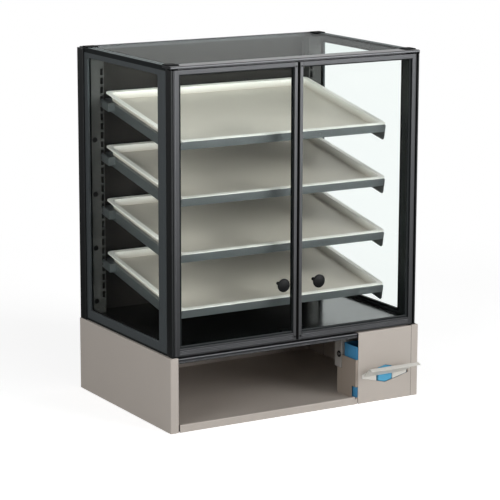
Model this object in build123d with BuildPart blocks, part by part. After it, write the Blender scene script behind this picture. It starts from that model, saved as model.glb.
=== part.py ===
from build123d import *
from math import cos, radians, sin, tan
import os

os.makedirs("parts", exist_ok=True)

# Countertop bread display bin: a glazed case with two hinged doors and four
# sloping shelves, on a sheet-metal base with an open storage bay and a
# hand-tissue dispenser.  X runs left to right, Y front to back and Z up.  The
# origin is on the counter under the centre of the base.  Millimetres.

# ------------------------------------------------------------ overall sizes
WIDTH = 813.0  # base, left to right
DEPTH = 561.0  # base, front to back
HEIGHT = 1006.0  # counter to the top of the roof rails
BASE_H = 211.0  # counter to the top of the base
SIDE_STEP = 8.0  # the case stands in from the base by these
FRONT_STEP = 5.5
REAR_STEP = 7.5

# ------------------------------------------------------------ shared stock
SHEET = 1.5  # folded steel sheet
WALL = 2.0  # aluminium extrusion and square tube walls
FIT = 0.5  # gap round a panel that drops into a frame
SCREW_R = 2.0
SCREW_CLEAR = 0.2

# ------------------------------------------------------------ case frame
POST_W = 20.5  # front post, from its outer face inwards
POST_D = 30.0
POST_FLANGE = 5.3  # the flange that shows beside each door
POST_WEB = 11.0  # the hollow web behind the door
POST_R = 3.0
FRAME_T = 11.5  # side frames, rear posts and sill rails
REAR_POST_D = 30.0
SILL_H = 6.6
SILL_GROOVE_D = 0.8
SILL_GROOVE_H = 1.0
SILL_GROOVE_Z = 3.6  # sill underside to the middle of its groove
RAIL_H = 14.0  # roof rails
SIDE_RAIL_W = 23.5
RAIL_GROOVE_X = 4.8  # case side to the wide groove, then to the fine one
RAIL_GROOVE_W = 1.4
RAIL_GROOVE_D = 1.2
RAIL_LINE_X = 16.5
RAIL_LINE_W = 1.0
RAIL_LINE_D = 0.8
RAIL_EDGE_R = 2.5
RAIL_NOSE_R = 4.0
FRONT_RAIL_D = 49.0
FRONT_RAIL_FLANGE = 7.0
RAIL_BODY_F = 21.0  # hollow body of the front rail, behind the case front
RAIL_BODY_R = 57.0
RAIL_BODY_Z = 27.0  # its underside below the top of the rail
REAR_RAIL_T = 5.0
ROOF_T = 5.0
ROOF_BEVEL = 0.6
LEDGE_W = 6.0
LEDGE_T = 2.5
CAP_SIZE = 36.0
CAP_T = 2.5
CAP_R = 4.0
CAP_BEVEL = 0.8
CAP_INSET = 17.0  # from the case front or rear to the cap
FRONT_STILE = 45.0  # side frame bands
REAR_STILE = 20.0
TOP_BAND = 14.0
BOTTOM_BAND = 24.4
OPENING_R = 7.0
REBATE = 7.0  # overlap of the side glass on its frame
REBATE_T = 6.0
SIDE_GLASS_T = 5.0
BACK_T = 3.0
BACK_SCREW_ROWS = 5
BACK_SCREW_END = 60.0  # first and last screw from the ends of the back panel
SCREW_BEVEL = 0.6

# ------------------------------------------------------------ doors
DOOR_T = 18.0
PIVOT_IN = 15.0  # hinge axis from the case side
PIVOT_BLOCK_H = 2.1
PIVOT_BLOCK_IN = 6.5  # hinge axis to the inner end of a block
PIVOT_GAP = 0.4  # running gap at each end of a door
TOP_BLOCK_H = 3.6
PIN_R = 3.0
PIN_L = 10.0
PIN_CLEAR = 0.05
BORE_END = 0.6
HINGE_STILE_W = 9.5  # from the hinge axis to the glass opening
MEETING_GAP = 2.4  # between the seals of the closed doors
SEAL_W = 3.0
SEAL_D = 14.0
STILE_BEVEL = 0.8
CLOSING_STILE_W = 9.3
TOP_RAIL_H = 11.5
BOTTOM_RAIL_H = 21.0
RAIL_LINES = 3  # fine grooves along the bottom rail of a door
RAIL_LINE_PITCH = 4.2
DOOR_LINE_D = 0.6
DOOR_LINE_H = 0.9
DOOR_GLASS_T = 5.0
DOOR_GLASS_BACK = 6.0  # from the rear face of the door to the glass
GROOVE = 6.0
GROOVE_GAP = 0.2
BEAD_W = 4.5
BEAD_D = 2.5
KNOB_R = 18.8
KNOB_FRONT = 32.0  # glass to the crown of the knob
KNOB_CROWN = 4.0  # rise of the domed face
KNOB_RIM = 8.5  # crown to the rear of the rim
KNOB_BEVEL = 0.8
KNOB_CONE = 4.0  # rim to the neck
KNOB_NECK_R = 4.5
KNOB_STUD_R = 2.5
KNOB_BACK_R = 5.0
KNOB_BACK_T = 3.0
KNOB_BACK_BEVEL = 1.0
KNOB_IN = 43.9  # closing edge of the glass opening to the knob
KNOB_UP = 166.7  # door bottom to the knob
DOOR_SCREW_R = 2.6
DOOR_SCREW_H = 1.0
DOOR_SCREW_L = 6.0
DOOR_SCREW_TOP = 0.5  # screws above and below the glass opening
DOOR_SCREW_FOOT = 10.0
CATCH_X = 27.0
CATCH_W = 26.0
CATCH_H = 13.0
CATCH_GAP = 0.6
CATCH_SEAT = 12.0  # how far a catch reaches over the deck
CATCH_BEVEL = 1.0

# ------------------------------------------------------------ deck, uprights
DECK_H = 19.0
DECK_SHEET = 2.0
DECK_R = 2.0
DECK_F = 25.0  # deck front from the case front
UPRIGHT_W = 43.0
UPRIGHT_D = 43.0
UPRIGHT_R = 1.5
SLOT_W = 8.4
SLOT_H = 19.0
SLOT_PITCH = 26.0
SLOT_TOP = 48.5  # roof rail underside to the top of the first slot
SLOT_FOOT = 30.0  # least room between the last slot and the deck
SLOT_IN = 7.5  # inner edge of the upright to the middle of the slots
PLUG_HOLE_R = 8.0
PLUG_HOLE_IN = 30.5
PLUG_HOLE_PITCH = 158.0
PLUG_HOLE_TOP = 252.3
PLUG_HOLES = 4
PILOT_R = 1.6
PILOT_X = (28.5, 8.5)  # upright's inner edge to each pair of pilot holes
PILOT_TOP = (23.0, 20.0)
PILOT_FOOT = (15.0, 16.0)

# ------------------------------------------------------------ shelves, trays
SHELVES = 4
FIRST_SLOT = 4  # the top shelf hangs in this slot, counted from the top
TILT = radians(10.91)
SHELF_GAP = 11.5  # upright's inner edge to the shelf flange
SHELF_FRONT = 71.6  # case front to the shelf lip
SHELF_BACK = 26.6  # shelf's rear edge to the back panel
SHELF_ABOVE_SLOT = 5.6
LIP_H = 21.0
LIP_R = 5.0
FLANGE_H = 27.0
FLANGE_R = 9.0
FLANGE_REAR_R = 3.0
REAR_EDGE_H = 16.0
ARM_L = 42.5
ARM_T = 3.0
ARM_DROP = 18.5
ARM_RISE = 5.0
HOOK_H = 9.0
HOOK_DROP = 4.0
HOOK_REACH = 3.0
HOOK_BEVEL = 3.0
HOOK_TIP_BEVEL = 1.0
TONGUE_H = 5.0
TONGUE_GAP = 1.0  # tongue to the top of its slot
TRAY_OVERHANG = 6.0  # tray rim past the shelf flange
TRAY_H = 22.0
TRAY_WALL = 2.4
TRAY_RIM = 11.0
TRAY_RIM_T = 3.0
TRAY_R = 16.0
TRAY_FOOT_R = 10.0
TRAY_WELL_R = 8.0
TRAY_DRAFT = 14.0  # degrees
TRAY_GAP = 0.3
TRAY_BEHIND_LIP = 0.8
TRAY_BEHIND = 2.7  # tray to the shelf's rear edge

# ------------------------------------------------------------ base
RETURN_W = 24.5  # thickness of a base side
CORNER_R = 3.5
TOP_EDGE_R = 2.0
SEAM_BACK = 89.5  # base rear to the seam in the bay's side
SEAM_W = 2.0
SEAM_D = 0.7
FLOOR_Z = 15.0
FLOOR_LIP_Z = 21.5
FLOOR_LIP_D = 11.0
BEND_R = 2.5
FLOOR_END_L = 4.0
FLOOR_END_R = 10.0
FLOOR_TAB_LAP = 6.0  # tab behind the right end of the floor's lip
FLOOR_TAB_GAP = 1.5
HEADER_DROP = 17.5  # base top to the underside of the header
HEADER_H = 14.5
HEADER_D = 30.0
HEADER_R = 4.0
HEADER_LEDGE = 11.0
HEADER_LINES = (3.0, 5.5)  # fine grooves above the header's underside
HEADER_LINE_D = 0.5
HEADER_LINE_H = 0.8
CEILING_DROP = 21.0  # base top to the bay ceiling
BACK_RETURN = 18.5
BASE_SCREW_IN = 42.0  # base side to the outer screws
BASE_SCREW_FOOT = 8.0
BASE_SCREW_TOP = 9.0  # bay ceiling to the upper screws

# ------------------------------------------------------------ dispenser
PANEL_W = 180.8
PANEL_DROP = 1.5  # base top to the top of the panel
PANEL_HOOK = 18.5
PANEL_EDGE_R = 1.2
DIAMOND_IN = 88.5  # base side to the middle of the opening
DIAMOND_Z = 79.0
DIAMOND_W = 79.8  # half widths and half heights
DIAMOND_END = 6.3
DIAMOND_SLOPE = 0.244
DIAMOND_END_R = 2.5
DIAMOND_R = 2.0
LIP_IN = 92.0  # base side to the middle of the lip
CHEEK_W = 75.5  # the lip's plate beside the window
CHEEK_END = 6.1
CHEEK_R = 3.5
WINDOW_W = 27.5
BEZEL_PROUD = 1.0
BEZEL_FLANGE = 5.0
BEZEL_END = 5.0  # flange short of the ends of the opening
BEZEL_T = 2.0
JAW_T = 2.2
JAW_RIM_W = 167.5
JAW_RISE = 33.5
JAW_REACH = 50.0
JAW_BROW = 13.0
JAW_BROW_FALL = 4.5
JAW_ROOT = 1.0  # jaw's root below the middle of the opening
JAW_ROOT_W = 130.0
JAW_TIP = 8.0
JAW_BEND_R = 4.0
BOX_W = 184.5  # to the middle of its side walls
BOX_IN = 3.25  # base side to the middle of the right wall
BOX_R = 1.0
BOX_REAR = 76.5  # base front to the middle of the rear wall of the box
BOX_H = 115.0
BOX_FLANGE = 9.0
NOTCH_UP = 4.0  # bay floor to the finger notch
NOTCH_H = 31.0
NOTCH_D = 21.0
TAIL_D = 22.5
TAIL_H = 75.0
PACK_W = 175.0
PACK_D = 70.5
PACK_BELOW = 15.0  # bay ceiling to the top of the pack
PACK_R = 5.0
SERVICE_D = 35.0
SERVICE_H = 100.0
SERVICE_GAP = 4.0
SERVICE_BEVEL = 1.0
GROMMET_R = 9.5
GROMMET_HOLE_R = 5.0
GROMMET_T = 2.5
GROMMET_BEVEL = 0.8
GROMMET_DROP = 61.0  # bay ceiling to the cable hole
GROMMET_IN = 1.0  # grommet to the front face of the box
GROMMET_HOLE_L = 8.0

# ------------------------------------------------------------ derived places
base_x = WIDTH / 2
base_f = -DEPTH / 2
base_r = DEPTH / 2
inner_x = base_x - RETURN_W
header_z = BASE_H - HEADER_DROP
header_top = header_z + HEADER_H
ceiling_z = BASE_H - CEILING_DROP
panel_left = inner_x - PANEL_W
panel_top = BASE_H - PANEL_DROP
opening_x = inner_x - DIAMOND_IN
lip_mid = inner_x - LIP_IN
case_x = base_x - SIDE_STEP
case_f = base_f + FRONT_STEP
case_r = base_r - REAR_STEP
frame_in = case_x - FRAME_T
panel_x = frame_in - FIT
post_web_f = case_f + POST_D - POST_WEB
post_r = case_f + POST_D
rear_post_f = case_r - REAR_POST_D
rail_z = HEIGHT - RAIL_H
rail_in = case_x - SIDE_RAIL_W
flange_z = HEIGHT - FRONT_RAIL_FLANGE
roof_z = HEIGHT - ROOF_T
roof_f = case_f + FRONT_RAIL_D
roof_r = case_r - REAR_RAIL_T
back_y = case_r - BACK_T
sill_top = BASE_H + SILL_H

door_z0 = BASE_H + PIVOT_BLOCK_H + PIVOT_GAP
door_z1 = flange_z - TOP_BLOCK_H - PIVOT_GAP
pivot_x = case_x - PIVOT_IN
pivot_y = case_f + DOOR_T / 2
door_r = case_f + DOOR_T
stile_in = pivot_x - HINGE_STILE_W
meeting_x = MEETING_GAP / 2
seal_x = meeting_x + SEAL_W
closing_x = seal_x + CLOSING_STILE_W
knob_x = closing_x + KNOB_IN
knob_z = door_z0 + KNOB_UP
view_z0 = door_z0 + BOTTOM_RAIL_H
view_z1 = door_z1 - TOP_RAIL_H
glass_r = door_r - DOOR_GLASS_BACK
glass_f = glass_r - DOOR_GLASS_T
glass_mid = (glass_f + glass_r) / 2

deck_top = BASE_H + DECK_H
deck_f = case_f + DECK_F
upright_f = back_y - UPRIGHT_D
upright_in = panel_x - UPRIGHT_W
slot_x = upright_in + SLOT_IN
slot_z1 = rail_z - SLOT_TOP
slot_count = int((slot_z1 - deck_top - SLOT_FOOT - SLOT_H) / SLOT_PITCH) + 1
slots_per_shelf = int((slot_z1 - deck_top) / (SHELVES * SLOT_PITCH))
shelf_f = case_f + SHELF_FRONT
shelf_w = 2 * (upright_in - SHELF_GAP)
shelf_l = (back_y - SHELF_BACK - shelf_f) / cos(TILT)
tray_w = shelf_w + 2 * TRAY_OVERHANG
tray_l = shelf_l - SHEET - TRAY_BEHIND_LIP - TRAY_BEHIND

CORNER = (Align.MIN, Align.MIN, Align.MIN)


def keep(piece, label):
    """Label a finished piece and write it."""
    piece.part.label = label
    export_step(piece.part, f"parts/{label}.step")


def keep_pair(right, label):
    """Write a right-hand piece and its mirror image."""
    keep(right, f"{label}_right")
    with BuildPart() as left:
        mirror(right.part, about=Plane.YZ)
    keep(left, f"{label}_left")


def block(x, y, z, mode=Mode.ADD):
    """A box in the part being built; x, y and z are (low, high) pairs."""
    with Locations((x[0], y[0], z[0])):
        Box(x[1] - x[0], y[1] - y[0], z[1] - z[0], align=CORNER, mode=mode)


def rod(centre, radius, y, mode=Mode.ADD):
    """A round bar along Y at centre (x, z); y is a (low, high) pair."""
    with Locations(Location((centre[0], y[0], centre[1]), (-90, 0, 0))):
        Cylinder(radius, y[1] - y[0], align=(Align.CENTER, Align.CENTER, Align.MIN), mode=mode)


# ------------------------------------------------------------ front posts
with BuildPart() as front_post:
    with BuildSketch(Plane.XY.offset(BASE_H)):
        with BuildLine():
            FilletPolyline(
                (case_x, case_f),
                (case_x, post_r),
                (case_x - POST_W, post_r),
                (case_x - POST_W, post_web_f),
                (case_x - POST_FLANGE, post_web_f),
                (case_x - POST_FLANGE, case_f),
                radius=(POST_R, 0, 0, 0, 0, 1),
                close=True,
            )
        make_face()
        with Locations((case_x - POST_W / 2, post_r - POST_WEB / 2)):
            Rectangle(POST_W - 2 * WALL, POST_WEB - 2 * WALL, mode=Mode.SUBTRACT)
    extrude(amount=flange_z - BASE_H)
    flange_x = (case_x - POST_FLANGE, case_x)
    block(flange_x, (case_f, post_web_f), (BASE_H, BASE_H + PIVOT_BLOCK_H), Mode.SUBTRACT)
    block(flange_x, (case_f, post_web_f), (flange_z - TOP_BLOCK_H, flange_z), Mode.SUBTRACT)
keep_pair(front_post, "front_post")

# ------------------------------------------------------------ rear posts
with BuildPart() as rear_post:
    with BuildSketch(Plane.XY.offset(BASE_H)):
        with Locations(((frame_in + case_x) / 2, (rear_post_f + case_r) / 2)):
            Rectangle(FRAME_T, REAR_POST_D)
            Rectangle(FRAME_T - 2 * WALL, REAR_POST_D - 2 * WALL, mode=Mode.SUBTRACT)
    extrude(amount=rail_z - BASE_H)
    corner_edge = rear_post.edges().filter_by(Axis.Z).sort_by(Axis.Y)[-4:].sort_by(Axis.X)[-1]
    fillet(corner_edge, POST_R / 2)
keep_pair(rear_post, "rear_post")

# ------------------------------------------------------------ sill rails
with BuildPart() as sill_rail:
    block((frame_in, case_x), (post_r, rear_post_f), (BASE_H, sill_top))
    with BuildSketch(Plane.XZ.offset(-post_r)):
        with Locations((case_x, BASE_H + SILL_GROOVE_Z)):
            Rectangle(2 * SILL_GROOVE_D, SILL_GROOVE_H)
    extrude(amount=post_r - rear_post_f, mode=Mode.SUBTRACT)
keep_pair(sill_rail, "sill_rail")

# ------------------------------------------------------------ side frames
frame_y = (post_r, rear_post_f)
open_y = (post_r + FRONT_STILE, rear_post_f - REAR_STILE)
open_z = (sill_top + BOTTOM_BAND, rail_z - TOP_BAND)
open_mid = ((open_y[0] + open_y[1]) / 2, (open_z[0] + open_z[1]) / 2)
open_w = open_y[1] - open_y[0]
open_h = open_z[1] - open_z[0]
with BuildPart() as side_frame:
    with BuildSketch(Plane.YZ.offset(frame_in)):
        with Locations(((frame_y[0] + frame_y[1]) / 2, (sill_top + rail_z) / 2)):
            Rectangle(frame_y[1] - frame_y[0], rail_z - sill_top)
        with Locations(open_mid):
            RectangleRounded(open_w, open_h, OPENING_R, mode=Mode.SUBTRACT)
    extrude(amount=FRAME_T)
    with BuildSketch(Plane.YZ.offset(frame_in)):
        with Locations(open_mid):
            Rectangle(open_w + 2 * REBATE, open_h + 2 * REBATE)
    extrude(amount=REBATE_T, mode=Mode.SUBTRACT)
keep_pair(side_frame, "side_frame")

with BuildPart() as side_glass:
    with BuildSketch(Plane.YZ.offset(frame_in + REBATE_T - SIDE_GLASS_T)):
        with Locations(open_mid):
            Rectangle(open_w + 2 * (REBATE - FIT), open_h + 2 * (REBATE - FIT))
    extrude(amount=SIDE_GLASS_T)
keep_pair(side_glass, "side_glass")

with BuildPart() as glazing_beads:
    with BuildSketch(Plane.YZ.offset(frame_in)):
        with Locations(open_mid):
            Rectangle(open_w + 2 * (REBATE - FIT), open_h + 2 * (REBATE - FIT))
            RectangleRounded(open_w - 2, open_h - 2, OPENING_R, mode=Mode.SUBTRACT)
    extrude(amount=REBATE_T - SIDE_GLASS_T)
    mirror(about=Plane.YZ)
keep(glazing_beads, "side_glazing_beads")

# ------------------------------------------------------------ roof rails
body_f = case_f + RAIL_BODY_F
body_r = case_f + RAIL_BODY_R
body_z = HEIGHT - RAIL_BODY_Z
with BuildPart() as front_rail:
    with BuildSketch(Plane.YZ.offset(-case_x)):
        with BuildLine():
            FilletPolyline(
                (case_f, flange_z),
                (case_f, HEIGHT),
                (roof_f, HEIGHT),
                (roof_f, flange_z),
                radius=(1, RAIL_NOSE_R, 0.8, 0),
                close=True,
            )
        make_face()
    extrude(amount=2 * case_x)
    with BuildSketch(Plane.YZ.offset(-rail_in)):
        with BuildLine():
            Polyline(
                (body_f, body_z),
                (body_f, flange_z),
                (roof_f, flange_z),
                (roof_f, roof_z),
                (body_r, roof_z),
                (body_r, body_z),
                close=True,
            )
        make_face()
        with Locations(((body_f + body_r) / 2, (body_z + flange_z) / 2)):
            Rectangle(
                body_r - body_f - 2 * WALL, flange_z - body_z - 2 * WALL, mode=Mode.SUBTRACT
            )
    extrude(amount=2 * rail_in)
keep(front_rail, "top_rail_front")

with BuildPart() as side_rail:
    with BuildSketch(Plane.XZ.offset(-roof_f)):
        with BuildLine():
            FilletPolyline(
                (case_x, rail_z),
                (case_x, HEIGHT),
                (rail_in, HEIGHT),
                (rail_in, roof_z),
                (rail_in - LEDGE_W, roof_z),
                (rail_in - LEDGE_W, roof_z - LEDGE_T),
                (rail_in, roof_z - LEDGE_T),
                (rail_in, rail_z),
                radius=(0, RAIL_EDGE_R, 0.6, 0, 0, 0, 0, 0),
                close=True,
            )
        make_face()
        with Locations((case_x - RAIL_GROOVE_X, HEIGHT)):
            Rectangle(RAIL_GROOVE_W, 2 * RAIL_GROOVE_D, mode=Mode.SUBTRACT)
        with Locations((case_x - RAIL_LINE_X, HEIGHT)):
            Rectangle(RAIL_LINE_W, 2 * RAIL_LINE_D, mode=Mode.SUBTRACT)
    extrude(amount=-(case_r - roof_f))
    block((rail_in, case_x), (post_r, roof_f), (rail_z, flange_z))
    ledge_x = (rail_in - LEDGE_W, rail_in)
    block(ledge_x, (roof_f, body_r), (roof_z - LEDGE_T, roof_z), Mode.SUBTRACT)
    block(ledge_x, (roof_r - LEDGE_W, case_r), (roof_z - LEDGE_T, roof_z), Mode.SUBTRACT)
keep_pair(side_rail, "top_rail")

with BuildPart() as rear_rail:
    with BuildSketch(Plane.YZ.offset(-rail_in)):
        with BuildLine():
            Polyline(
                (case_r, rail_z),
                (case_r, HEIGHT),
                (roof_r, HEIGHT),
                (roof_r, roof_z),
                (roof_r - LEDGE_W, roof_z),
                (roof_r - LEDGE_W, roof_z - LEDGE_T),
                (roof_r, roof_z - LEDGE_T),
                (roof_r, rail_z),
                close=True,
            )
        make_face()
    extrude(amount=2 * rail_in)
keep(rear_rail, "top_rail_rear")

with BuildPart() as roof_glass:
    roof_x = rail_in - FIT
    block((-roof_x, roof_x), (roof_f + FIT, roof_r - FIT), (roof_z, HEIGHT))
    chamfer(roof_glass.edges().group_by(Axis.Z)[-1], ROOF_BEVEL)
keep(roof_glass, "roof_glass")

cap_mid_x = case_x - FIT - CAP_SIZE / 2
cap_mid_y = case_f + CAP_INSET + CAP_SIZE / 2
with BuildPart() as corner_caps:
    with BuildSketch(Plane.XY.offset(HEIGHT)):
        for cap_y in (cap_mid_y, -cap_mid_y):
            with Locations((cap_mid_x, cap_y), (-cap_mid_x, cap_y)):
                RectangleRounded(CAP_SIZE, CAP_SIZE, CAP_R)
    extrude(amount=CAP_T)
    chamfer(corner_caps.faces().group_by(Axis.Z)[-1].edges(), CAP_BEVEL)
keep(corner_caps, "corner_caps")

# ------------------------------------------------------------ back panel
screw_pitch = (rail_z - BASE_H - 2 * BACK_SCREW_END) / (BACK_SCREW_ROWS - 1)
screw_z = [BASE_H + BACK_SCREW_END + i * screw_pitch for i in range(BACK_SCREW_ROWS)]
upright_mid = upright_in + UPRIGHT_W / 2
back_screws = [(side * upright_mid, z) for side in (-1, 1) for z in screw_z]
with BuildPart() as back_panel:
    block((-panel_x, panel_x), (back_y, case_r), (BASE_H, rail_z))
    for place in back_screws:
        rod(place, SCREW_R + SCREW_CLEAR, (back_y, case_r), Mode.SUBTRACT)
keep(back_panel, "back_panel")

# ------------------------------------------------------------ uprights
with BuildPart() as upright:
    with BuildSketch(Plane.XY.offset(deck_top)):
        with Locations((upright_mid, (upright_f + back_y) / 2)):
            RectangleRounded(UPRIGHT_W, UPRIGHT_D, UPRIGHT_R)
            Rectangle(UPRIGHT_W - 2 * WALL, UPRIGHT_D - 2 * WALL, mode=Mode.SUBTRACT)
    extrude(amount=rail_z - deck_top)
    with BuildSketch(Plane.XZ.offset(-upright_f)):
        slot_mid = slot_z1 - SLOT_H / 2 - (slot_count - 1) * SLOT_PITCH / 2
        with Locations((slot_x, slot_mid)):
            with GridLocations(1, SLOT_PITCH, 1, slot_count):
                Rectangle(SLOT_W, SLOT_H)
        for i in range(PLUG_HOLES):
            with Locations((upright_in + PLUG_HOLE_IN, rail_z - PLUG_HOLE_TOP - i * PLUG_HOLE_PITCH)):
                Circle(PLUG_HOLE_R)
        for x, top, foot in zip(PILOT_X, PILOT_TOP, PILOT_FOOT):
            with Locations((upright_in + x, rail_z - top), (upright_in + x, deck_top + foot)):
                Circle(PILOT_R)
    extrude(amount=-WALL, mode=Mode.SUBTRACT)
    for z in screw_z:
        rod((upright_mid, z), SCREW_R + SCREW_CLEAR, (back_y - WALL, back_y), Mode.SUBTRACT)
keep_pair(upright, "upright")

# ------------------------------------------------------------ deck
with BuildPart() as deck:
    deck_mid = (deck_f + back_y) / 2
    deck_d = back_y - deck_f
    with BuildSketch(Plane.XY.offset(BASE_H)):
        with Locations((0, deck_mid)):
            Rectangle(2 * panel_x, deck_d)
    extrude(amount=DECK_H)
    fillet(deck.edges().group_by(Axis.Z)[-1], DECK_R)
    with BuildSketch(Plane.XY.offset(BASE_H)):
        with Locations((0, deck_mid)):
            Rectangle(2 * (panel_x - DECK_SHEET), deck_d - 2 * DECK_SHEET)
    extrude(amount=DECK_H - DECK_SHEET, mode=Mode.SUBTRACT)
    for side in (-1, 1):
        notch_x = sorted((side * (case_x - POST_W - FIT), side * panel_x))
        block(notch_x, (deck_f, post_r + FIT), (BASE_H, deck_top), Mode.SUBTRACT)
keep(deck, "deck")

# ------------------------------------------------------------ pivot blocks
with BuildPart() as pivot_blocks:
    block_x = (pivot_x - PIVOT_BLOCK_IN, case_x - FIT)
    block(block_x, (case_f, post_web_f), (BASE_H, BASE_H + PIVOT_BLOCK_H))
    block(block_x, (case_f, post_web_f), (flange_z - TOP_BLOCK_H, flange_z))
    with Locations((pivot_x, pivot_y, BASE_H + PIVOT_BLOCK_H)):
        Cylinder(PIN_R, PIN_L, align=(Align.CENTER, Align.CENTER, Align.MIN))
    with Locations((pivot_x, pivot_y, flange_z - TOP_BLOCK_H)):
        Cylinder(PIN_R, PIN_L, align=(Align.CENTER, Align.CENTER, Align.MAX))
    mirror(about=Plane.YZ)
keep(pivot_blocks, "pivot_blocks")

# ------------------------------------------------------------ doors
door_h = door_z1 - door_z0
view_w = stile_in - closing_x
view_h = view_z1 - view_z0
view_mid = ((closing_x + stile_in) / 2, (view_z0 + view_z1) / 2)
groove_w = DOOR_GLASS_T + 2 * GROOVE_GAP
bore_l = PIN_L - PIVOT_GAP + BORE_END
with BuildPart() as hinge_stile:
    with BuildSketch(Plane.XY.offset(door_z0)):
        with Locations((pivot_x, pivot_y)):
            Circle(DOOR_T / 2)
        with Locations(((pivot_x + stile_in) / 2, pivot_y)):
            Rectangle(HINGE_STILE_W, DOOR_T)
        with Locations((stile_in + GROOVE / 2, glass_mid)):
            Rectangle(GROOVE, groove_w, mode=Mode.SUBTRACT)
    extrude(amount=door_h)
    for bore_z in (door_z0, door_z1 - bore_l):
        with Locations((pivot_x, pivot_y, bore_z)):
            Cylinder(
                PIN_R + PIN_CLEAR,
                bore_l,
                align=(Align.CENTER, Align.CENTER, Align.MIN),
                mode=Mode.SUBTRACT,
            )
keep_pair(hinge_stile, "door_hinge_stile")

screw_x = (seal_x + closing_x) / 2
door_screw_places = [(screw_x, view_z0 - DOOR_SCREW_FOOT), (screw_x, view_z1 + DOOR_SCREW_TOP)]
with BuildPart() as closing_stile:
    with BuildSketch(Plane.XY.offset(door_z0)):
        with Locations((screw_x, pivot_y)):
            Rectangle(CLOSING_STILE_W, DOOR_T)
        with Locations((closing_x - GROOVE / 2, glass_mid)):
            Rectangle(GROOVE, groove_w, mode=Mode.SUBTRACT)
    extrude(amount=door_h)
    chamfer(closing_stile.edges().filter_by(Axis.Z).group_by(Axis.Y)[0], STILE_BEVEL)
    for place in door_screw_places:
        rod(place, SCREW_R + SCREW_CLEAR, (case_f, case_f + DOOR_SCREW_L), Mode.SUBTRACT)
keep_pair(closing_stile, "door_closing_stile")

with BuildPart() as door_screws:
    for place in door_screw_places:
        rod(place, DOOR_SCREW_R, (case_f - DOOR_SCREW_H, case_f))
        rod(place, SCREW_R, (case_f, case_f + DOOR_SCREW_L - FIT))
keep_pair(door_screws, "door_screws")

with BuildPart() as door_rails:
    with BuildSketch(Plane.YZ.offset(closing_x)):
        with Locations((pivot_y, door_z1 - TOP_RAIL_H / 2)):
            Rectangle(DOOR_T, TOP_RAIL_H)
        with Locations((pivot_y, door_z0 + BOTTOM_RAIL_H / 2)):
            Rectangle(DOOR_T, BOTTOM_RAIL_H)
        with Locations((glass_mid, view_z1 + GROOVE / 2), (glass_mid, view_z0 - GROOVE / 2)):
            Rectangle(groove_w, GROOVE, mode=Mode.SUBTRACT)
        with Locations((case_f, door_z0 + BOTTOM_RAIL_H / 2)):
            with GridLocations(1, RAIL_LINE_PITCH, 1, RAIL_LINES):
                Rectangle(2 * DOOR_LINE_D, DOOR_LINE_H, mode=Mode.SUBTRACT)
    extrude(amount=view_w)
keep_pair(door_rails, "door_rails")

with BuildPart() as door_glass:
    with BuildSketch(Plane.XZ.offset(-glass_f)):
        with Locations(view_mid):
            Rectangle(view_w + 2 * (GROOVE - FIT), view_h + 2 * (GROOVE - FIT))
        with Locations((knob_x, knob_z)):
            Circle(KNOB_STUD_R + SCREW_CLEAR, mode=Mode.SUBTRACT)
    extrude(amount=-DOOR_GLASS_T)
keep_pair(door_glass, "door_glass")

with BuildPart() as door_gasket:
    for bead_y in (glass_f - BEAD_D, glass_r):
        with BuildSketch(Plane.XZ.offset(-bead_y)):
            with Locations(view_mid):
                Rectangle(view_w, view_h)
                Rectangle(view_w - 2 * BEAD_W, view_h - 2 * BEAD_W, mode=Mode.SUBTRACT)
        extrude(amount=-BEAD_D)
    seal_y = (pivot_y - SEAL_D / 2, pivot_y + SEAL_D / 2)
    block((meeting_x, seal_x), seal_y, (door_z0, door_z1))
keep_pair(door_gasket, "door_gasket")

knob_f = glass_f - KNOB_FRONT
knob_rim_f = knob_f + KNOB_CROWN
knob_rim_r = knob_f + KNOB_RIM
with BuildPart() as knob:
    with BuildSketch(Plane.XY):
        with BuildLine():
            crown_end = (KNOB_R - KNOB_BEVEL, knob_rim_f)
            RadiusArc((0, knob_f), crown_end, -(crown_end[0] ** 2 + KNOB_CROWN**2) / (2 * KNOB_CROWN))
            Polyline(
                crown_end,
                (KNOB_R, knob_rim_f + KNOB_BEVEL),
                (KNOB_R, knob_rim_r - KNOB_BEVEL),
                (KNOB_R - KNOB_BEVEL, knob_rim_r),
                (KNOB_NECK_R, knob_rim_r + KNOB_CONE),
                (KNOB_NECK_R, glass_f),
                (KNOB_STUD_R, glass_f),
                (KNOB_STUD_R, glass_r),
                (KNOB_BACK_R, glass_r),
                (KNOB_BACK_R, glass_r + KNOB_BACK_T - KNOB_BACK_BEVEL),
                (KNOB_BACK_R - KNOB_BACK_BEVEL, glass_r + KNOB_BACK_T),
                (0, glass_r + KNOB_BACK_T),
                (0, knob_f),
            )
        make_face()
    revolve(axis=Axis.Y)
with BuildPart() as door_knob:
    with Locations((knob_x, 0, knob_z)):
        add(knob.part)
keep_pair(door_knob, "door_knob")

with BuildPart() as door_catches:
    catch_x = (CATCH_X - CATCH_W / 2, CATCH_X + CATCH_W / 2)
    catch_y = (door_r + CATCH_GAP, deck_f + CATCH_SEAT)
    block(catch_x, catch_y, (deck_top, deck_top + CATCH_H))
    chamfer(door_catches.edges().group_by(Axis.Z)[-1], CATCH_BEVEL)
    mirror(about=Plane.YZ)
keep(door_catches, "door_catches")


# ------------------------------------------------------------ shelves
def slot_bottom(number):
    """Height of the lower edge of a slot, counted from 1 at the top."""
    return slot_z1 - SLOT_H - (number - 1) * SLOT_PITCH


def shelf_plane(number):
    """Plane of a shelf's plate: x across, y up the slope, z square to it."""
    hang = slot_bottom(FIRST_SLOT + (number - 1) * slots_per_shelf)
    front_z = hang + SHELF_ABOVE_SLOT - (upright_f - shelf_f) * tan(TILT)
    return Plane((0, shelf_f, front_z), x_dir=(1, 0, 0), z_dir=(0, -sin(TILT), cos(TILT)))


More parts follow.
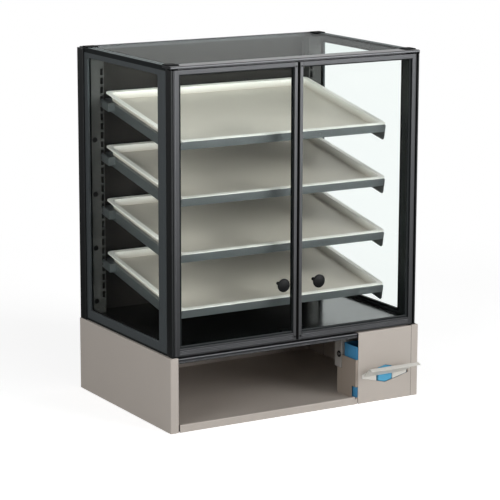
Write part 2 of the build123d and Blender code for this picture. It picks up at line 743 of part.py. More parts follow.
def slope_point(plane, height, y):
    """The (y, z) point at a height square to the slope, where it crosses y."""
    rise = (y - plane.origin.Y) * tan(TILT)
    return (y, plane.origin.Z + rise + height / cos(TILT))


def make_shelf(number):
    """Folded shelf with a front lip, side flanges and hooks into the slots."""
    half = shelf_w / 2
    top = shelf_plane(number)
    front = Plane(top.origin, x_dir=top.x_dir, z_dir=-top.y_dir)
    hang = slot_bottom(FIRST_SLOT + (number - 1) * slots_per_shelf)
    hook_x = slot_x - ARM_T / 2
    arm_f = upright_f - ARM_L
    with BuildPart() as shelf:
        with BuildSketch(top):
            with Locations((0, shelf_l / 2)):
                Rectangle(shelf_w, shelf_l)
        extrude(amount=-SHEET)
        with BuildSketch(front):
            with BuildLine():
                FilletPolyline(
                    (-half, -SHEET),
                    (-half, LIP_H),
                    (half, LIP_H),
                    (half, -SHEET),
                    radius=(0, LIP_R, LIP_R, 0),
                    close=True,
                )
            make_face()
        extrude(amount=-SHEET)
        rear_corner = top.from_local_coords((-half, shelf_l - SHEET, 0))
        with BuildSketch(Plane(rear_corner, x_dir=top.x_dir, z_dir=-top.y_dir)):
            with Locations((half, -REAR_EDGE_H / 2)):
                Rectangle(shelf_w, REAR_EDGE_H)
        extrude(amount=-SHEET)
        for side in (-1, 1):
            face_x = side * (half - SHEET)
            corner = top.from_local_coords((face_x, 0, 0))
            with BuildSketch(Plane(corner, x_dir=top.y_dir, z_dir=top.x_dir)):
                with BuildLine():
                    FilletPolyline(
                        (0, 0),
                        (0, -FLANGE_H),
                        (shelf_l, -FLANGE_H),
                        (shelf_l, 0),
                        radius=(0, FLANGE_R, FLANGE_REAR_R, 0),
                        close=True,
                    )
                make_face()
            extrude(amount=side * SHEET)
            with BuildSketch(Plane.YZ.offset(side * hook_x)):
                with BuildLine():
                    Polyline(
                        slope_point(top, -ARM_DROP, arm_f),
                        slope_point(top, -ARM_DROP, upright_f),
                        slope_point(top, ARM_RISE, upright_f),
                        slope_point(top, ARM_RISE, arm_f),
                        close=True,
                    )
                make_face()
                hook_y = upright_f + WALL + HOOK_REACH
                with BuildLine():
                    Polyline(
                        (upright_f, hang),
                        (upright_f + WALL, hang),
                        (upright_f + WALL, hang - HOOK_DROP),
                        (hook_y, hang - HOOK_DROP + HOOK_TIP_BEVEL),
                        (hook_y, hang + HOOK_H - HOOK_BEVEL),
                        (hook_y - HOOK_BEVEL, hang + HOOK_H),
                        (upright_f, hang + HOOK_H),
                        close=True,
                    )
                make_face()
                tongue_z = hang - SLOT_PITCH + SLOT_H - TONGUE_H / 2 - TONGUE_GAP
                with Locations(((upright_f + hook_y) / 2, tongue_z)):
                    Rectangle(hook_y - upright_f, TONGUE_H)
            extrude(amount=side * ARM_T)
            web_x = (side * (hook_x + ARM_T) + face_x) / 2
            web_w = hook_x + ARM_T - half + SHEET
            with BuildSketch(Plane.XZ.offset(-arm_f)):
                low = slope_point(top, -ARM_DROP, arm_f)[1]
                high = slope_point(top, ARM_RISE, arm_f)[1]
                with Locations((web_x, (low + high) / 2)):
                    Rectangle(web_w, high - low)
            extrude(amount=-ARM_T)
        with BuildSketch(top):
            with Locations((0, shelf_l / 2)):
                Rectangle(shelf_w - 2 * SHEET, shelf_l - 2 * SHEET)
        extrude(amount=LIP_H, mode=Mode.SUBTRACT)
    keep(shelf, f"shelf_{number}")


def make_tray(number):
    """Shallow moulded tray that lies on a shelf, rim over the side flanges."""
    top = shelf_plane(number)
    y_mid = SHEET + TRAY_BEHIND_LIP + tray_l / 2
    slope = tan(radians(TRAY_DRAFT)) * TRAY_H
    body_w = tray_w - 2 * TRAY_RIM - 2 * slope
    body_l = tray_l - 2 * TRAY_RIM - 2 * slope
    with BuildPart() as tray:
        with BuildSketch(top.offset(TRAY_GAP)):
            with Locations((0, y_mid)):
                RectangleRounded(body_w, body_l, TRAY_FOOT_R)
        extrude(amount=TRAY_H, taper=-TRAY_DRAFT)
        with BuildSketch(top.offset(TRAY_GAP + TRAY_H - TRAY_RIM_T)):
            with Locations((0, y_mid)):
                RectangleRounded(tray_w, tray_l, TRAY_R)
        extrude(amount=TRAY_RIM_T)
        with BuildSketch(top.offset(TRAY_GAP + TRAY_WALL)):
            with Locations((0, y_mid)):
                RectangleRounded(body_w - 2 * TRAY_WALL, body_l - 2 * TRAY_WALL, TRAY_WELL_R)
        extrude(amount=TRAY_H, taper=-TRAY_DRAFT, mode=Mode.SUBTRACT)
    keep(tray, f"tray_{number}")


for shelf_number in range(1, SHELVES + 1):
    make_shelf(shelf_number)
    make_tray(shelf_number)

# ------------------------------------------------------------ base sides
with BuildPart() as base_side:
    with BuildSketch(Plane.XY):
        with BuildLine():
            FilletPolyline(
                (inner_x, base_f),
                (base_x, base_f),
                (base_x, base_r),
                (inner_x, base_r),
                radius=(1, CORNER_R, CORNER_R, 1),
                close=True,
            )
        make_face()
    extrude(amount=BASE_H)
    fillet(base_side.edges().filter_by(Axis.Y).group_by(Axis.Z)[-1].sort_by(Axis.X)[-1], TOP_EDGE_R)
    block(
        (inner_x + SHEET, base_x - SHEET),
        (base_f + SHEET, base_r - SHEET),
        (SHEET, BASE_H - SHEET),
        Mode.SUBTRACT,
    )
    seam_y = base_r - SEAM_BACK
    block((inner_x, inner_x + SEAM_D), (seam_y, seam_y + SEAM_W), (0, BASE_H), Mode.SUBTRACT)
keep_pair(base_side, "base_side")

# ------------------------------------------------------------ base floor
floor_r = base_r - SHEET
lip_r = base_f + FLOOR_LIP_D
with BuildPart() as base_floor:
    block((-inner_x, inner_x), (lip_r - SHEET, floor_r), (0, FLOOR_Z))
    block(
        (-inner_x + SHEET, inner_x - SHEET),
        (lip_r, floor_r - SHEET),
        (0, FLOOR_Z - SHEET),
        Mode.SUBTRACT,
    )
    lip_x = (-inner_x + FLOOR_END_L, panel_left - FLOOR_END_R)
    with BuildSketch(Plane.YZ.offset(lip_x[0])):
        with BuildLine():
            FilletPolyline(
                (base_f, 0),
                (base_f, FLOOR_LIP_Z),
                (lip_r, FLOOR_LIP_Z),
                (lip_r, FLOOR_Z - SHEET),
                (lip_r - SHEET, FLOOR_Z - SHEET),
                (lip_r - SHEET, FLOOR_LIP_Z - SHEET),
                (base_f + SHEET, FLOOR_LIP_Z - SHEET),
                (base_f + SHEET, 0),
                radius=(0, BEND_R, BEND_R, 0, 0, 1, 1, 0),
                close=True,
            )
        make_face()
    extrude(amount=lip_x[1] - lip_x[0])
    tab_x = (lip_x[1] - FLOOR_TAB_LAP, panel_left - FLOOR_TAB_GAP)
    block(tab_x, (base_f + SHEET, base_f + 2 * SHEET), (0, FLOOR_Z))
keep(base_floor, "base_floor")

# ------------------------------------------------------------ base back
base_screw_x = inner_x - BASE_SCREW_IN
base_screw_z = (BASE_SCREW_FOOT, ceiling_z + BASE_SCREW_TOP)
base_screw_places = [(x, z) for x in (-base_screw_x, 0, base_screw_x) for z in base_screw_z]
with BuildPart() as base_back:
    with BuildSketch(Plane.YZ.offset(-inner_x)):
        with BuildLine():
            FilletPolyline(
                (base_r, 0),
                (base_r, BASE_H),
                (base_r - BACK_RETURN, BASE_H),
                (base_r - BACK_RETURN, BASE_H - SHEET),
                (floor_r, BASE_H - SHEET),
                (floor_r, 0),
                radius=(0, BEND_R, 0, 0, FIT, 0),
                close=True,
            )
        make_face()
    extrude(amount=2 * inner_x)
    for place in base_screw_places:
        rod(place, SCREW_R + SCREW_CLEAR, (floor_r, base_r), Mode.SUBTRACT)
keep(base_back, "base_back")

# ------------------------------------------------------------ bay ceiling
header_r = case_f + HEADER_D
with BuildPart() as bay_ceiling:
    ceiling_top = BASE_H - SHEET - FIT
    block((-inner_x, inner_x), (header_r, floor_r), (ceiling_z, ceiling_top))
    block(
        (-inner_x + SHEET, inner_x - SHEET),
        (header_r + SHEET, floor_r - SHEET),
        (ceiling_z + SHEET, ceiling_top),
        Mode.SUBTRACT,
    )
    for place in base_screw_places[1::2]:
        rod(place, SCREW_R + SCREW_CLEAR, (floor_r - SHEET, floor_r), Mode.SUBTRACT)
keep(bay_ceiling, "bay_ceiling")

with BuildPart() as rear_screws:
    for place in back_screws:
        rod(place, 2 * SCREW_R, (case_r, case_r + SCREW_R))
        rod(place, SCREW_R, (back_y - WALL, case_r))
    for place in base_screw_places:
        rod(place, 2 * SCREW_R, (base_r, base_r + SCREW_R))
        rod(place, SCREW_R, (floor_r, base_r))
    chamfer(rear_screws.faces().group_by(Axis.Y)[-1].edges(), SCREW_BEVEL)
keep(rear_screws, "rear_screws")

# ------------------------------------------------------------ header rail
with BuildPart() as header_rail:
    with BuildSketch(Plane.YZ.offset(-inner_x)):
        with BuildLine():
            FilletPolyline(
                (case_f, header_z),
                (case_f, header_top),
                (header_r - HEADER_LEDGE, header_top),
                (header_r - HEADER_LEDGE, BASE_H),
                (header_r, BASE_H),
                (header_r, header_z),
                radius=(1, HEADER_R, 0, 0, 0, 0),
                close=True,
            )
        make_face()
        with Locations(((case_f + header_r) / 2, header_z + HEADER_H / 2)):
            Rectangle(HEADER_D - 2 * WALL, HEADER_H - 2 * WALL, mode=Mode.SUBTRACT)
        for line_z in HEADER_LINES:
            with Locations((case_f, header_z + line_z)):
                Rectangle(2 * HEADER_LINE_D, HEADER_LINE_H, mode=Mode.SUBTRACT)
    extrude(amount=2 * inner_x)
keep(header_rail, "header_rail")


# ------------------------------------------------------------ dispenser
def diamond(middle, half_w, end):
    """Corners of a blunt-ended diamond on the front of the dispenser."""
    peak = end + DIAMOND_SLOPE * half_w
    return [
        (middle - half_w, DIAMOND_Z - end),
        (middle, DIAMOND_Z - peak),
        (middle + half_w, DIAMOND_Z - end),
        (middle + half_w, DIAMOND_Z + end),
        (middle, DIAMOND_Z + peak),
        (middle - half_w, DIAMOND_Z + end),
    ]


panel_r = base_f + SHEET
with BuildPart() as dispenser_panel:
    with BuildSketch(Plane.YZ.offset(panel_left)):
        with BuildLine():
            FilletPolyline(
                (base_f, 0),
                (base_f, panel_top),
                (base_f + PANEL_HOOK, panel_top),
                (base_f + PANEL_HOOK, header_top),
                (panel_r, header_top),
                (panel_r, 0),
                radius=(0, BEND_R, 0, 0, 1, 0),
                close=True,
            )
        make_face()
    extrude(amount=PANEL_W)
    panel_edge = dispenser_panel.edges().filter_by(Axis.Z).group_by(Axis.X)[0].sort_by(Axis.Y)[0]
    fillet(panel_edge, PANEL_EDGE_R)
    with BuildSketch(Plane.XZ.offset(-base_f)):
        with BuildLine():
            opening_line = diamond(opening_x, DIAMOND_W, DIAMOND_END)
            corner_r = (DIAMOND_END_R, DIAMOND_R, DIAMOND_END_R) * 2
            FilletPolyline(*opening_line, radius=corner_r, close=True)
        make_face()
    extrude(amount=-SHEET, mode=Mode.SUBTRACT)
keep(dispenser_panel, "dispenser_panel")

jaw_tip_y = base_f - JAW_REACH + JAW_TIP
with BuildPart() as jaw:
    with BuildSketch(Plane.YZ.offset(lip_mid - JAW_RIM_W / 2)):
        with BuildLine():
            jaw_line = FilletPolyline(
                (base_f, DIAMOND_Z - JAW_ROOT),
                (base_f - JAW_REACH, DIAMOND_Z + JAW_RISE),
                (base_f - JAW_REACH - JAW_BROW, DIAMOND_Z + JAW_RISE - JAW_BROW_FALL),
                radius=JAW_BEND_R,
            )
        trace(jaw_line, line_width=JAW_T)
    extrude(amount=JAW_RIM_W)
    with BuildSketch(Plane.XY.offset(DIAMOND_Z - JAW_RISE)):
        for side in (-1, 1):
            with BuildLine():
                Polyline(
                    (lip_mid + side * JAW_ROOT_W / 2, panel_r),
                    (lip_mid + side * JAW_ROOT_W / 2, base_f),
                    (lip_mid + side * JAW_RIM_W / 2, jaw_tip_y),
                    (lip_mid + side * JAW_RIM_W, jaw_tip_y),
                    (lip_mid + side * JAW_RIM_W, panel_r),
                    close=True,
                )
            make_face()
    extrude(amount=3 * JAW_RISE, mode=Mode.SUBTRACT)

cheek_f = base_f - BEZEL_PROUD
with BuildPart() as dispenser_lip:
    with BuildSketch(Plane.XZ.offset(-cheek_f)):
        with BuildLine():
            FilletPolyline(*diamond(lip_mid, CHEEK_W, CHEEK_END), radius=CHEEK_R, close=True)
        make_face()
    extrude(amount=-(BEZEL_PROUD + SHEET))
    with BuildSketch(Plane.XZ.offset(-panel_r)):
        with BuildLine():
            flange_line = diamond(opening_x, DIAMOND_W + BEZEL_FLANGE, DIAMOND_END + BEZEL_FLANGE)
            Polyline(*flange_line, close=True)
        make_face()
        with Locations((opening_x, DIAMOND_Z + DIAMOND_W)):
            Rectangle(2 * (DIAMOND_W - BEZEL_END), 2 * DIAMOND_W, mode=Mode.INTERSECT)
    extrude(amount=-BEZEL_T)
    with BuildSketch(Plane.XZ.offset(-cheek_f)):
        with BuildLine():
            Polyline(*opening_line, close=True)
        make_face()
        with Locations((lip_mid, DIAMOND_Z)):
            Rectangle(2 * WINDOW_W, 2 * DIAMOND_W, mode=Mode.INTERSECT)
    extrude(amount=-(BEZEL_PROUD + SHEET + BEZEL_T), mode=Mode.SUBTRACT)
    add(jaw.part)
keep(dispenser_lip, "dispenser_lip")

box_right = inner_x - BOX_IN
box_left = box_right - BOX_W
box_front = panel_r + SHEET / 2
box_back = base_f + BOX_REAR
with BuildPart() as dispenser_box:
    with BuildSketch(Plane.XY.offset(FLOOR_Z)):
        with BuildLine():
            box_line = FilletPolyline(
                (box_left + BOX_FLANGE, box_front),
                (box_left, box_front),
                (box_left, box_back),
                (box_right, box_back),
                (box_right, box_front),
                (box_right - BOX_FLANGE, box_front),
                radius=BOX_R,
            )
        trace(box_line, line_width=SHEET)
    extrude(amount=BOX_H)
    left_x = (box_left - SHEET / 2, box_left + SHEET / 2)
    block(left_x, (box_back, box_back + TAIL_D), (FLOOR_Z, FLOOR_Z + TAIL_H))
    notch_x = (left_x[0], box_left + BOX_FLANGE + SHEET)
    notch_z = (FLOOR_Z + NOTCH_UP, FLOOR_Z + NOTCH_UP + NOTCH_H)
    block(notch_x, (panel_r, panel_r + NOTCH_D), notch_z, Mode.SUBTRACT)
keep(dispenser_box, "dispenser_box")

box_mid = (box_left + box_right) / 2
with BuildPart() as tissue_pack:
    pack_f = panel_r + BEZEL_T + FIT
    pack_x = (box_mid - PACK_W / 2, box_mid + PACK_W / 2)
    block(pack_x, (pack_f, pack_f + PACK_D), (FLOOR_Z, ceiling_z - PACK_BELOW))
    fillet(tissue_pack.edges().filter_by(Axis.Z), PACK_R)
keep(tissue_pack, "tissue_pack")

service_f = box_back + SHEET / 2 + SERVICE_GAP
grommet_place = (service_f + GROMMET_R + GROMMET_IN, ceiling_z - GROMMET_DROP)
with BuildPart() as service_box:
    service_x = (left_x[1], box_right)
    service_z = (ceiling_z - SERVICE_H, ceiling_z)
    block(service_x, (service_f, service_f + SERVICE_D), service_z)
    chamfer(service_box.edges().filter_by(Axis.Z).group_by(Axis.X)[0], SERVICE_BEVEL)
    with BuildSketch(Plane.YZ.offset(service_x[0])):
        with Locations(grommet_place):
            Circle(GROMMET_HOLE_R)
    extrude(amount=GROMMET_HOLE_L, mode=Mode.SUBTRACT)
keep(service_box, "service_box")

with BuildPart() as grommet:
    with BuildSketch(Plane.YZ.offset(service_x[0])):
        with Locations(grommet_place):
            Circle(GROMMET_R)
            Circle(GROMMET_HOLE_R, mode=Mode.SUBTRACT)
    extrude(amount=-GROMMET_T)
    chamfer(grommet.faces().sort_by(Axis.X)[0].edges(), GROMMET_BEVEL)
keep(grommet, "grommet")
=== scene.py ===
import math

import bmesh
import bpy
from mathutils import Matrix, Vector


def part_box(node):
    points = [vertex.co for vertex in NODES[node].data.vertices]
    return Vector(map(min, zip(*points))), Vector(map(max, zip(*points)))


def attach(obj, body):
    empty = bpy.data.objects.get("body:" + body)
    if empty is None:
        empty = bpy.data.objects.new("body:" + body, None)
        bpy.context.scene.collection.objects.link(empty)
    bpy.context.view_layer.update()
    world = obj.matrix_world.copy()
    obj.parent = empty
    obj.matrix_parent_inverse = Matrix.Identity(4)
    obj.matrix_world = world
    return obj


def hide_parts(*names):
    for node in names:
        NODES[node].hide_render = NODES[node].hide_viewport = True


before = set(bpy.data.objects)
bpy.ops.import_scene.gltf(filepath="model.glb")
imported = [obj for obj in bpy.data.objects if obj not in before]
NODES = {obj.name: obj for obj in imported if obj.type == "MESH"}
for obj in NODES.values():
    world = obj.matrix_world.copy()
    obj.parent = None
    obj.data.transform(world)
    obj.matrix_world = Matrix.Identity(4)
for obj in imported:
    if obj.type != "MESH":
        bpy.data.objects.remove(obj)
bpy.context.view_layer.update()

# The looks of a countertop bread display bin: a charcoal frame with glass
# doors, sloping shelves with pale trays, a taupe metal base and a dispenser
# for blue wipes.  Metres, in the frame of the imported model.

MM = 0.001
SIDES = (("left", -1), ("right", 1))


# ------------------------------------------------------------ colours
def srgb(red, green, blue):
    """A colour given as 0 to 255, as the linear values that shaders use."""
    linear = []
    for level in (red, green, blue):
        part = level / 255
        linear.append(part / 12.92 if part <= 0.04045 else ((part + 0.055) / 1.055) ** 2.4)
    return (*linear, 1.0)


def shade(colour, share):
    """A colour made darker or lighter by a share."""
    return (*(min(1.0, share * level) for level in colour[:3]), 1.0)


WHITE = (1.0, 1.0, 1.0, 1.0)
ANODISED = srgb(85, 86, 88)
PALE_ANODISED = srgb(99, 100, 102)
BLACK_ANODISED = srgb(40, 42, 43)
HEADER_ANODISED = srgb(70, 71, 73)
SLATE_ANODISED = srgb(72, 77, 79)
# painted shade: the colour of the side frames' faces that look into the case
INSIDE_SHADE_BLACK = srgb(26, 30, 30)
BEAD_SLATE = srgb(32, 36, 37)
# pale strips that stand as painted highlights along the roof's side rails
HIGHLIGHT_TEAL = srgb(122, 142, 142)
RAIL_BLACK = srgb(24, 27, 28)
UPRIGHT_GREY = srgb(62, 62, 60)
SHELF_GREY = srgb(116, 121, 122)
# dark charcoal with a warm tint that is a painted reflection
PANEL_BLACK = srgb(38, 35, 32)
DECK_BLACK = srgb(6, 7, 7)
BLACK_MOULDING = srgb(18, 19, 20)
RUBBER = srgb(15, 15, 16)
TAUPE = srgb(184, 176, 168)
# a darker copy of the taupe for the dispenser box: painted shade
SHADED_TAUPE = srgb(150, 139, 128)
TRAY_RIM = srgb(243, 240, 232)
# painted shade: the trays' floors, darker and browner than the rims
SHADED_TRAY_FLOOR = srgb(205, 197, 185)
JAW_WHITE = srgb(224, 222, 215)
WIPE_BLUE = srgb(92, 178, 219)
CARTON_BLUE = srgb(66, 143, 190)
SERVICE_GREY = srgb(165, 162, 158)
BLACK_STEEL = srgb(58, 58, 60)
# painted shade: the inside of the upright tubes
TUBE_SHADE_BLACK = srgb(4, 4, 5)
SEAM_BROWN = srgb(92, 84, 77)
PALE_DUST = srgb(196, 192, 186)
DECK_DUST = srgb(150, 150, 148)
GLASS_TINT = srgb(251, 254, 253)
ROOF_TINT = srgb(243, 250, 248)
SMUDGE_TINT = srgb(238, 241, 240)
COOL_TINT = (0.92, 0.98, 1.0, 1.0)
FLOOR = srgb(216, 216, 216)


# ------------------------------------------------------------ node helpers
SOCKETS = {"value": "NodeSocketFloat", "vector": "NodeSocketVector"}
NOISE_LOW, NOISE_HIGH = 0.3, 0.7  # a noise's values lie mostly between these


def new_group(name, inputs, outputs):
    """An empty shader node group and its two end nodes.  inputs lists (label, kind, default)
    and outputs (label, kind)."""
    group = bpy.data.node_groups.new(name, "ShaderNodeTree")
    for label, kind, default in inputs:
        socket = group.interface.new_socket(label, in_out="INPUT", socket_type=SOCKETS[kind])
        socket.default_value = default
    for label, kind in outputs:
        group.interface.new_socket(label, in_out="OUTPUT", socket_type=SOCKETS[kind])
    return group, group.nodes.new("NodeGroupInput"), group.nodes.new("NodeGroupOutput")


def add_node(tree, kind, inputs=None, **settings):
    """A node with settings; inputs maps a socket to a value or to the socket that feeds it."""
    node = tree.nodes.new(kind)
    for name, value in settings.items():
        setattr(node, name, value)
    for name, value in (inputs or {}).items():
        if isinstance(value, bpy.types.NodeSocket):
            tree.links.new(value, node.inputs[name])
        else:
            node.inputs[name].default_value = value
    return node


def use_group(tree, group, **values):
    """A group node in a tree, with its inputs given by name (underscores stand for spaces)."""
    node = tree.nodes.new("ShaderNodeGroup")
    node.node_tree = group
    for name, value in values.items():
        node.inputs[name.replace("_", " ")].default_value = value
    return node


def maths(tree, operation, *values):
    """The result of a Math node."""
    return add_node(tree, "ShaderNodeMath", dict(enumerate(values)), operation=operation).outputs[0]


def multiply(tree, first, second):
    """The product of two values."""
    return maths(tree, "MULTIPLY", first, second)


def vector_maths(tree, operation, *vectors):
    """The result of a Vector Math node: a value for a dot product or a length."""
    node = add_node(tree, "ShaderNodeVectorMath", dict(enumerate(vectors)), operation=operation)
    return node.outputs["Value" if operation in ("DOT_PRODUCT", "LENGTH") else "Vector"]


def axis_of(tree, vector, axis):
    """The X, Y or Z of a vector."""
    return add_node(tree, "ShaderNodeSeparateXYZ", {0: vector}).outputs[axis]


def object_place(tree):
    """A point's object coordinates, which are the model's at rest."""
    return add_node(tree, "ShaderNodeTexCoord").outputs["Object"]


def face_normal(tree):
    """The normal of the surface, before any bump."""
    return add_node(tree, "ShaderNodeNewGeometry").outputs["Normal"]


def noise(tree, place, scale, detail, **more):
    """The value of a noise texture."""
    inputs = {"Vector": place, "Scale": scale, "Detail": detail, **more}
    return add_node(tree, "ShaderNodeTexNoise", inputs).outputs["Fac"]


def blend_colour(tree, share, start, end):
    """The start colour turned into the end colour by a share."""
    return add_node(tree, "ShaderNodeMix", {0: share, 6: start, 7: end}, data_type="RGBA").outputs[2]


def value_range(tree, value, low, high, to_low, to_high):
    """A value mapped from one range to another, held at its ends."""
    places = {"Value": value, "From Min": low, "From Max": high, "To Min": to_low, "To Max": to_high}
    return add_node(tree, "ShaderNodeMapRange", places).outputs[0]


def around(tree, value, middle, spread):
    """A noise mapped to a range about a middle value."""
    return value_range(tree, value, NOISE_LOW, NOISE_HIGH, middle - spread, middle + spread)


def bump(tree, height, normal, strength, distance=0.0001):
    """Bump from a height, on top of another normal."""
    places = {"Height": height, "Normal": normal, "Strength": strength, "Distance": distance}
    return add_node(tree, "ShaderNodeBump", places).outputs[0]


# ------------------------------------------------------------ shared effects
def make_grain():
    """Fine even grain with slow clouds, as on powder coat and mouldings."""
    scales = [("Scale", "value", 900.0), ("Cloud Scale", "value", 4.0)]
    group, start, end = new_group("grain", scales, [("Grain", "value"), ("Cloud", "value")])
    place = object_place(group)
    group.links.new(noise(group, place, start.outputs["Scale"], detail=2.0), end.inputs["Grain"])
    group.links.new(noise(group, place, start.outputs["Cloud Scale"], detail=3.0), end.inputs["Cloud"])
    return group


def make_drawn_lines():
    """Fine parallel die lines of an extrusion; Stretch is the grain's scale along X, Y and Z."""
    stretch = ("Stretch", "vector", (900.0, 900.0, 4.0))
    group, start, end = new_group("drawn_lines", [stretch], [("Lines", "value")])
    stretched = vector_maths(group, "MULTIPLY", object_place(group), start.outputs["Stretch"])
    group.links.new(noise(group, stretched, 1.0, detail=4.0, Roughness=0.7), end.inputs["Lines"])
    return group


def make_soft_edges():
    """A normal that rounds sharp edges, and a mask of those edges."""
    radius = ("Radius", "value", 0.0008)
    group, start, end = new_group("soft_edges", [radius], [("Normal", "vector"), ("Edge", "value")])
    rounded = add_node(group, "ShaderNodeBevel", {"Radius": start.outputs["Radius"]}, samples=6).outputs[0]
    agreement = vector_maths(group, "DOT_PRODUCT", rounded, face_normal(group))
    group.links.new(value_range(group, agreement, 0.75, 0.995, 1.0, 0.0), end.inputs["Edge"])
    group.links.new(rounded, end.inputs["Normal"])
    return group


def make_dust():
    """A mask of thin dust on surfaces that face up, broken up by noise."""
    group, start, end = new_group("dust", [("Amount", "value", 0.3)], [("Mask", "value")])
    facing = value_range(group, axis_of(group, face_normal(group), "Z"), 0.7, 1.0, 0.0, 1.0)
    patches = noise(group, object_place(group), 9.0, detail=6.0)
    broken = value_range(group, patches, 0.35, 0.75, 0.2, 1.0)
    mask = multiply(group, multiply(group, facing, broken), start.outputs["Amount"])
    group.links.new(mask, end.inputs["Mask"])
    return group


def make_smudges():
    """Faint wiped streaks on glass, as a mask."""
    group, start, end = new_group("smudges", [("Scale", "value", 7.0)], [("Mask", "value")])
    wiped = noise(group, object_place(group), start.outputs["Scale"], detail=5.0, Distortion=1.2)
    group.links.new(value_range(group, wiped, 0.5, 0.8, 0.0, 1.0), end.inputs["Mask"])
    return group


def make_paper_fibre():
    """Soft crossed fibres of pressed paper, as a value."""
    group, start, end = new_group("paper_fibre", [("Scale", "value", 1400.0)], [("Fibre", "value")])
    place = object_place(group)
    places = {"Vector": place, "Scale": start.outputs["Scale"]}
    spots = add_node(group, "ShaderNodeTexVoronoi", places, feature="SMOOTH_F1").outputs["Distance"]
    clouds = noise(group, place, 260.0, detail=4.0)
    group.links.new(multiply(group, spots, clouds), end.inputs["Fibre"])
    return group


GRAIN = make_grain()
DRAWN_LINES = make_drawn_lines()
SOFT_EDGES = make_soft_edges()
DUST = make_dust()
SMUDGES = make_smudges()
PAPER_FIBRE = make_paper_fibre()


# ------------------------------------------------------------ materials
EXTRUDED_EDGE = 0.0009  # radii of softened edges, in metres
SHEET_EDGE = 0.0012
MOULDED_EDGE = 0.0008
CRISP_EDGE = 0.0005
FINEST_EDGE = 0.0003


def show(tree, surface):
    """Makes a shader the surface of its material."""
    output = next(node for node in tree.nodes if node.type == "OUTPUT_MATERIAL")
    tree.links.new(surface, output.inputs[0])


def new_material(name):
    """A node material with its Principled shader and output."""
    material = bpy.data.materials.new(name)
    material.use_nodes = True
    tree = material.node_tree
    tree.nodes.clear()
    shader = tree.nodes.new("ShaderNodeBsdfPrincipled")
    tree.nodes.new("ShaderNodeOutputMaterial")
    show(tree, shader.outputs[0])
    return material, tree, shader


def link_surface(tree, shader, base, rough, normal):
    """Feeds a Principled shader with what varies over the surface."""
    tree.links.new(base, shader.inputs["Base Color"])
    tree.links.new(rough, shader.inputs["Roughness"])
    tree.links.new(normal, shader.inputs["Normal"])


def facing_in(tree):
    """A mask of faces that look towards X = 0."""
    across = axis_of(tree, object_place(tree), "X")
    look = axis_of(tree, face_normal(tree), "X")
    return maths(tree, "LESS_THAN", multiply(tree, across, look), 0.0)


STREAK_SHADES = (0.84, 1.14)  # shares of the colour between which the die lines vary
COAT_SHADES = (0.95, 1.04)  # and between which powder coat is clouded


def anodised(name, stretch, colour=ANODISED, metal=0.9, roughness=0.31, shine=0.5, inner=None):
    """Satin anodised aluminium with die lines along one axis and rounded edges lightened as a
    painted highlight; inner is the colour of the faces that look into the case, a painted shade."""
    material, tree, shader = new_material(name)
    lines = use_group(tree, DRAWN_LINES, Stretch=stretch).outputs["Lines"]
    grain = use_group(tree, GRAIN, Scale=500.0, Cloud_Scale=3.0)
    edges = use_group(tree, SOFT_EDGES, Radius=EXTRUDED_EDGE)
    streaks = value_range(tree, lines, NOISE_LOW, NOISE_HIGH, 0.0, 1.0)
    base = blend_colour(tree, streaks, *(shade(colour, share) for share in STREAK_SHADES))
    # the rounded edges are lightened: a painted highlight
    painted_edge_shading = multiply(tree, edges.outputs["Edge"], 0.35)
    base = blend_colour(tree, painted_edge_shading, base, shade(colour, 1.8))
    # faces that look into the case are painted near black: a painted shade
    if inner:
        base = blend_colour(tree, facing_in(tree), base, inner)
    rough = around(tree, grain.outputs["Cloud"], roughness, 0.03)
    link_surface(tree, shader, base, rough, bump(tree, lines, edges.outputs["Normal"], strength=0.25))
    shader.inputs["Metallic"].default_value = metal
    shader.inputs["Specular IOR Level"].default_value = shine
    return material


def black_rail(name, stretch, shine):
    """Matt black anodised rail with die lines along one axis."""
    material, tree, shader = new_material(name)
    lines = use_group(tree, DRAWN_LINES, Stretch=stretch).outputs["Lines"]
    edges = use_group(tree, SOFT_EDGES, Radius=EXTRUDED_EDGE)
    base = blend_colour(tree, lines, RAIL_BLACK, shade(RAIL_BLACK, 1.5))
    rough = around(tree, lines, 0.46, 0.04)
    link_surface(tree, shader, base, rough, bump(tree, lines, edges.outputs["Normal"], strength=0.2))
    shader.inputs["Specular IOR Level"].default_value = shine
    return material


def hollow_mask(tree, middle, half):
    """A mask of the inside of upright box tubes, which mirror each other about X = 0; the inside is painted
    black there as shade.
    """
    folded = vector_maths(tree, "ABSOLUTE", object_place(tree))
    apart = vector_maths(tree, "ABSOLUTE", vector_maths(tree, "SUBTRACT", folded, middle))
    scaled = vector_maths(tree, "DIVIDE", apart, half)
    far = maths(tree, "MAXIMUM", axis_of(tree, scaled, "X"), axis_of(tree, scaled, "Y"))
    return maths(tree, "LESS_THAN", far, 1.0)


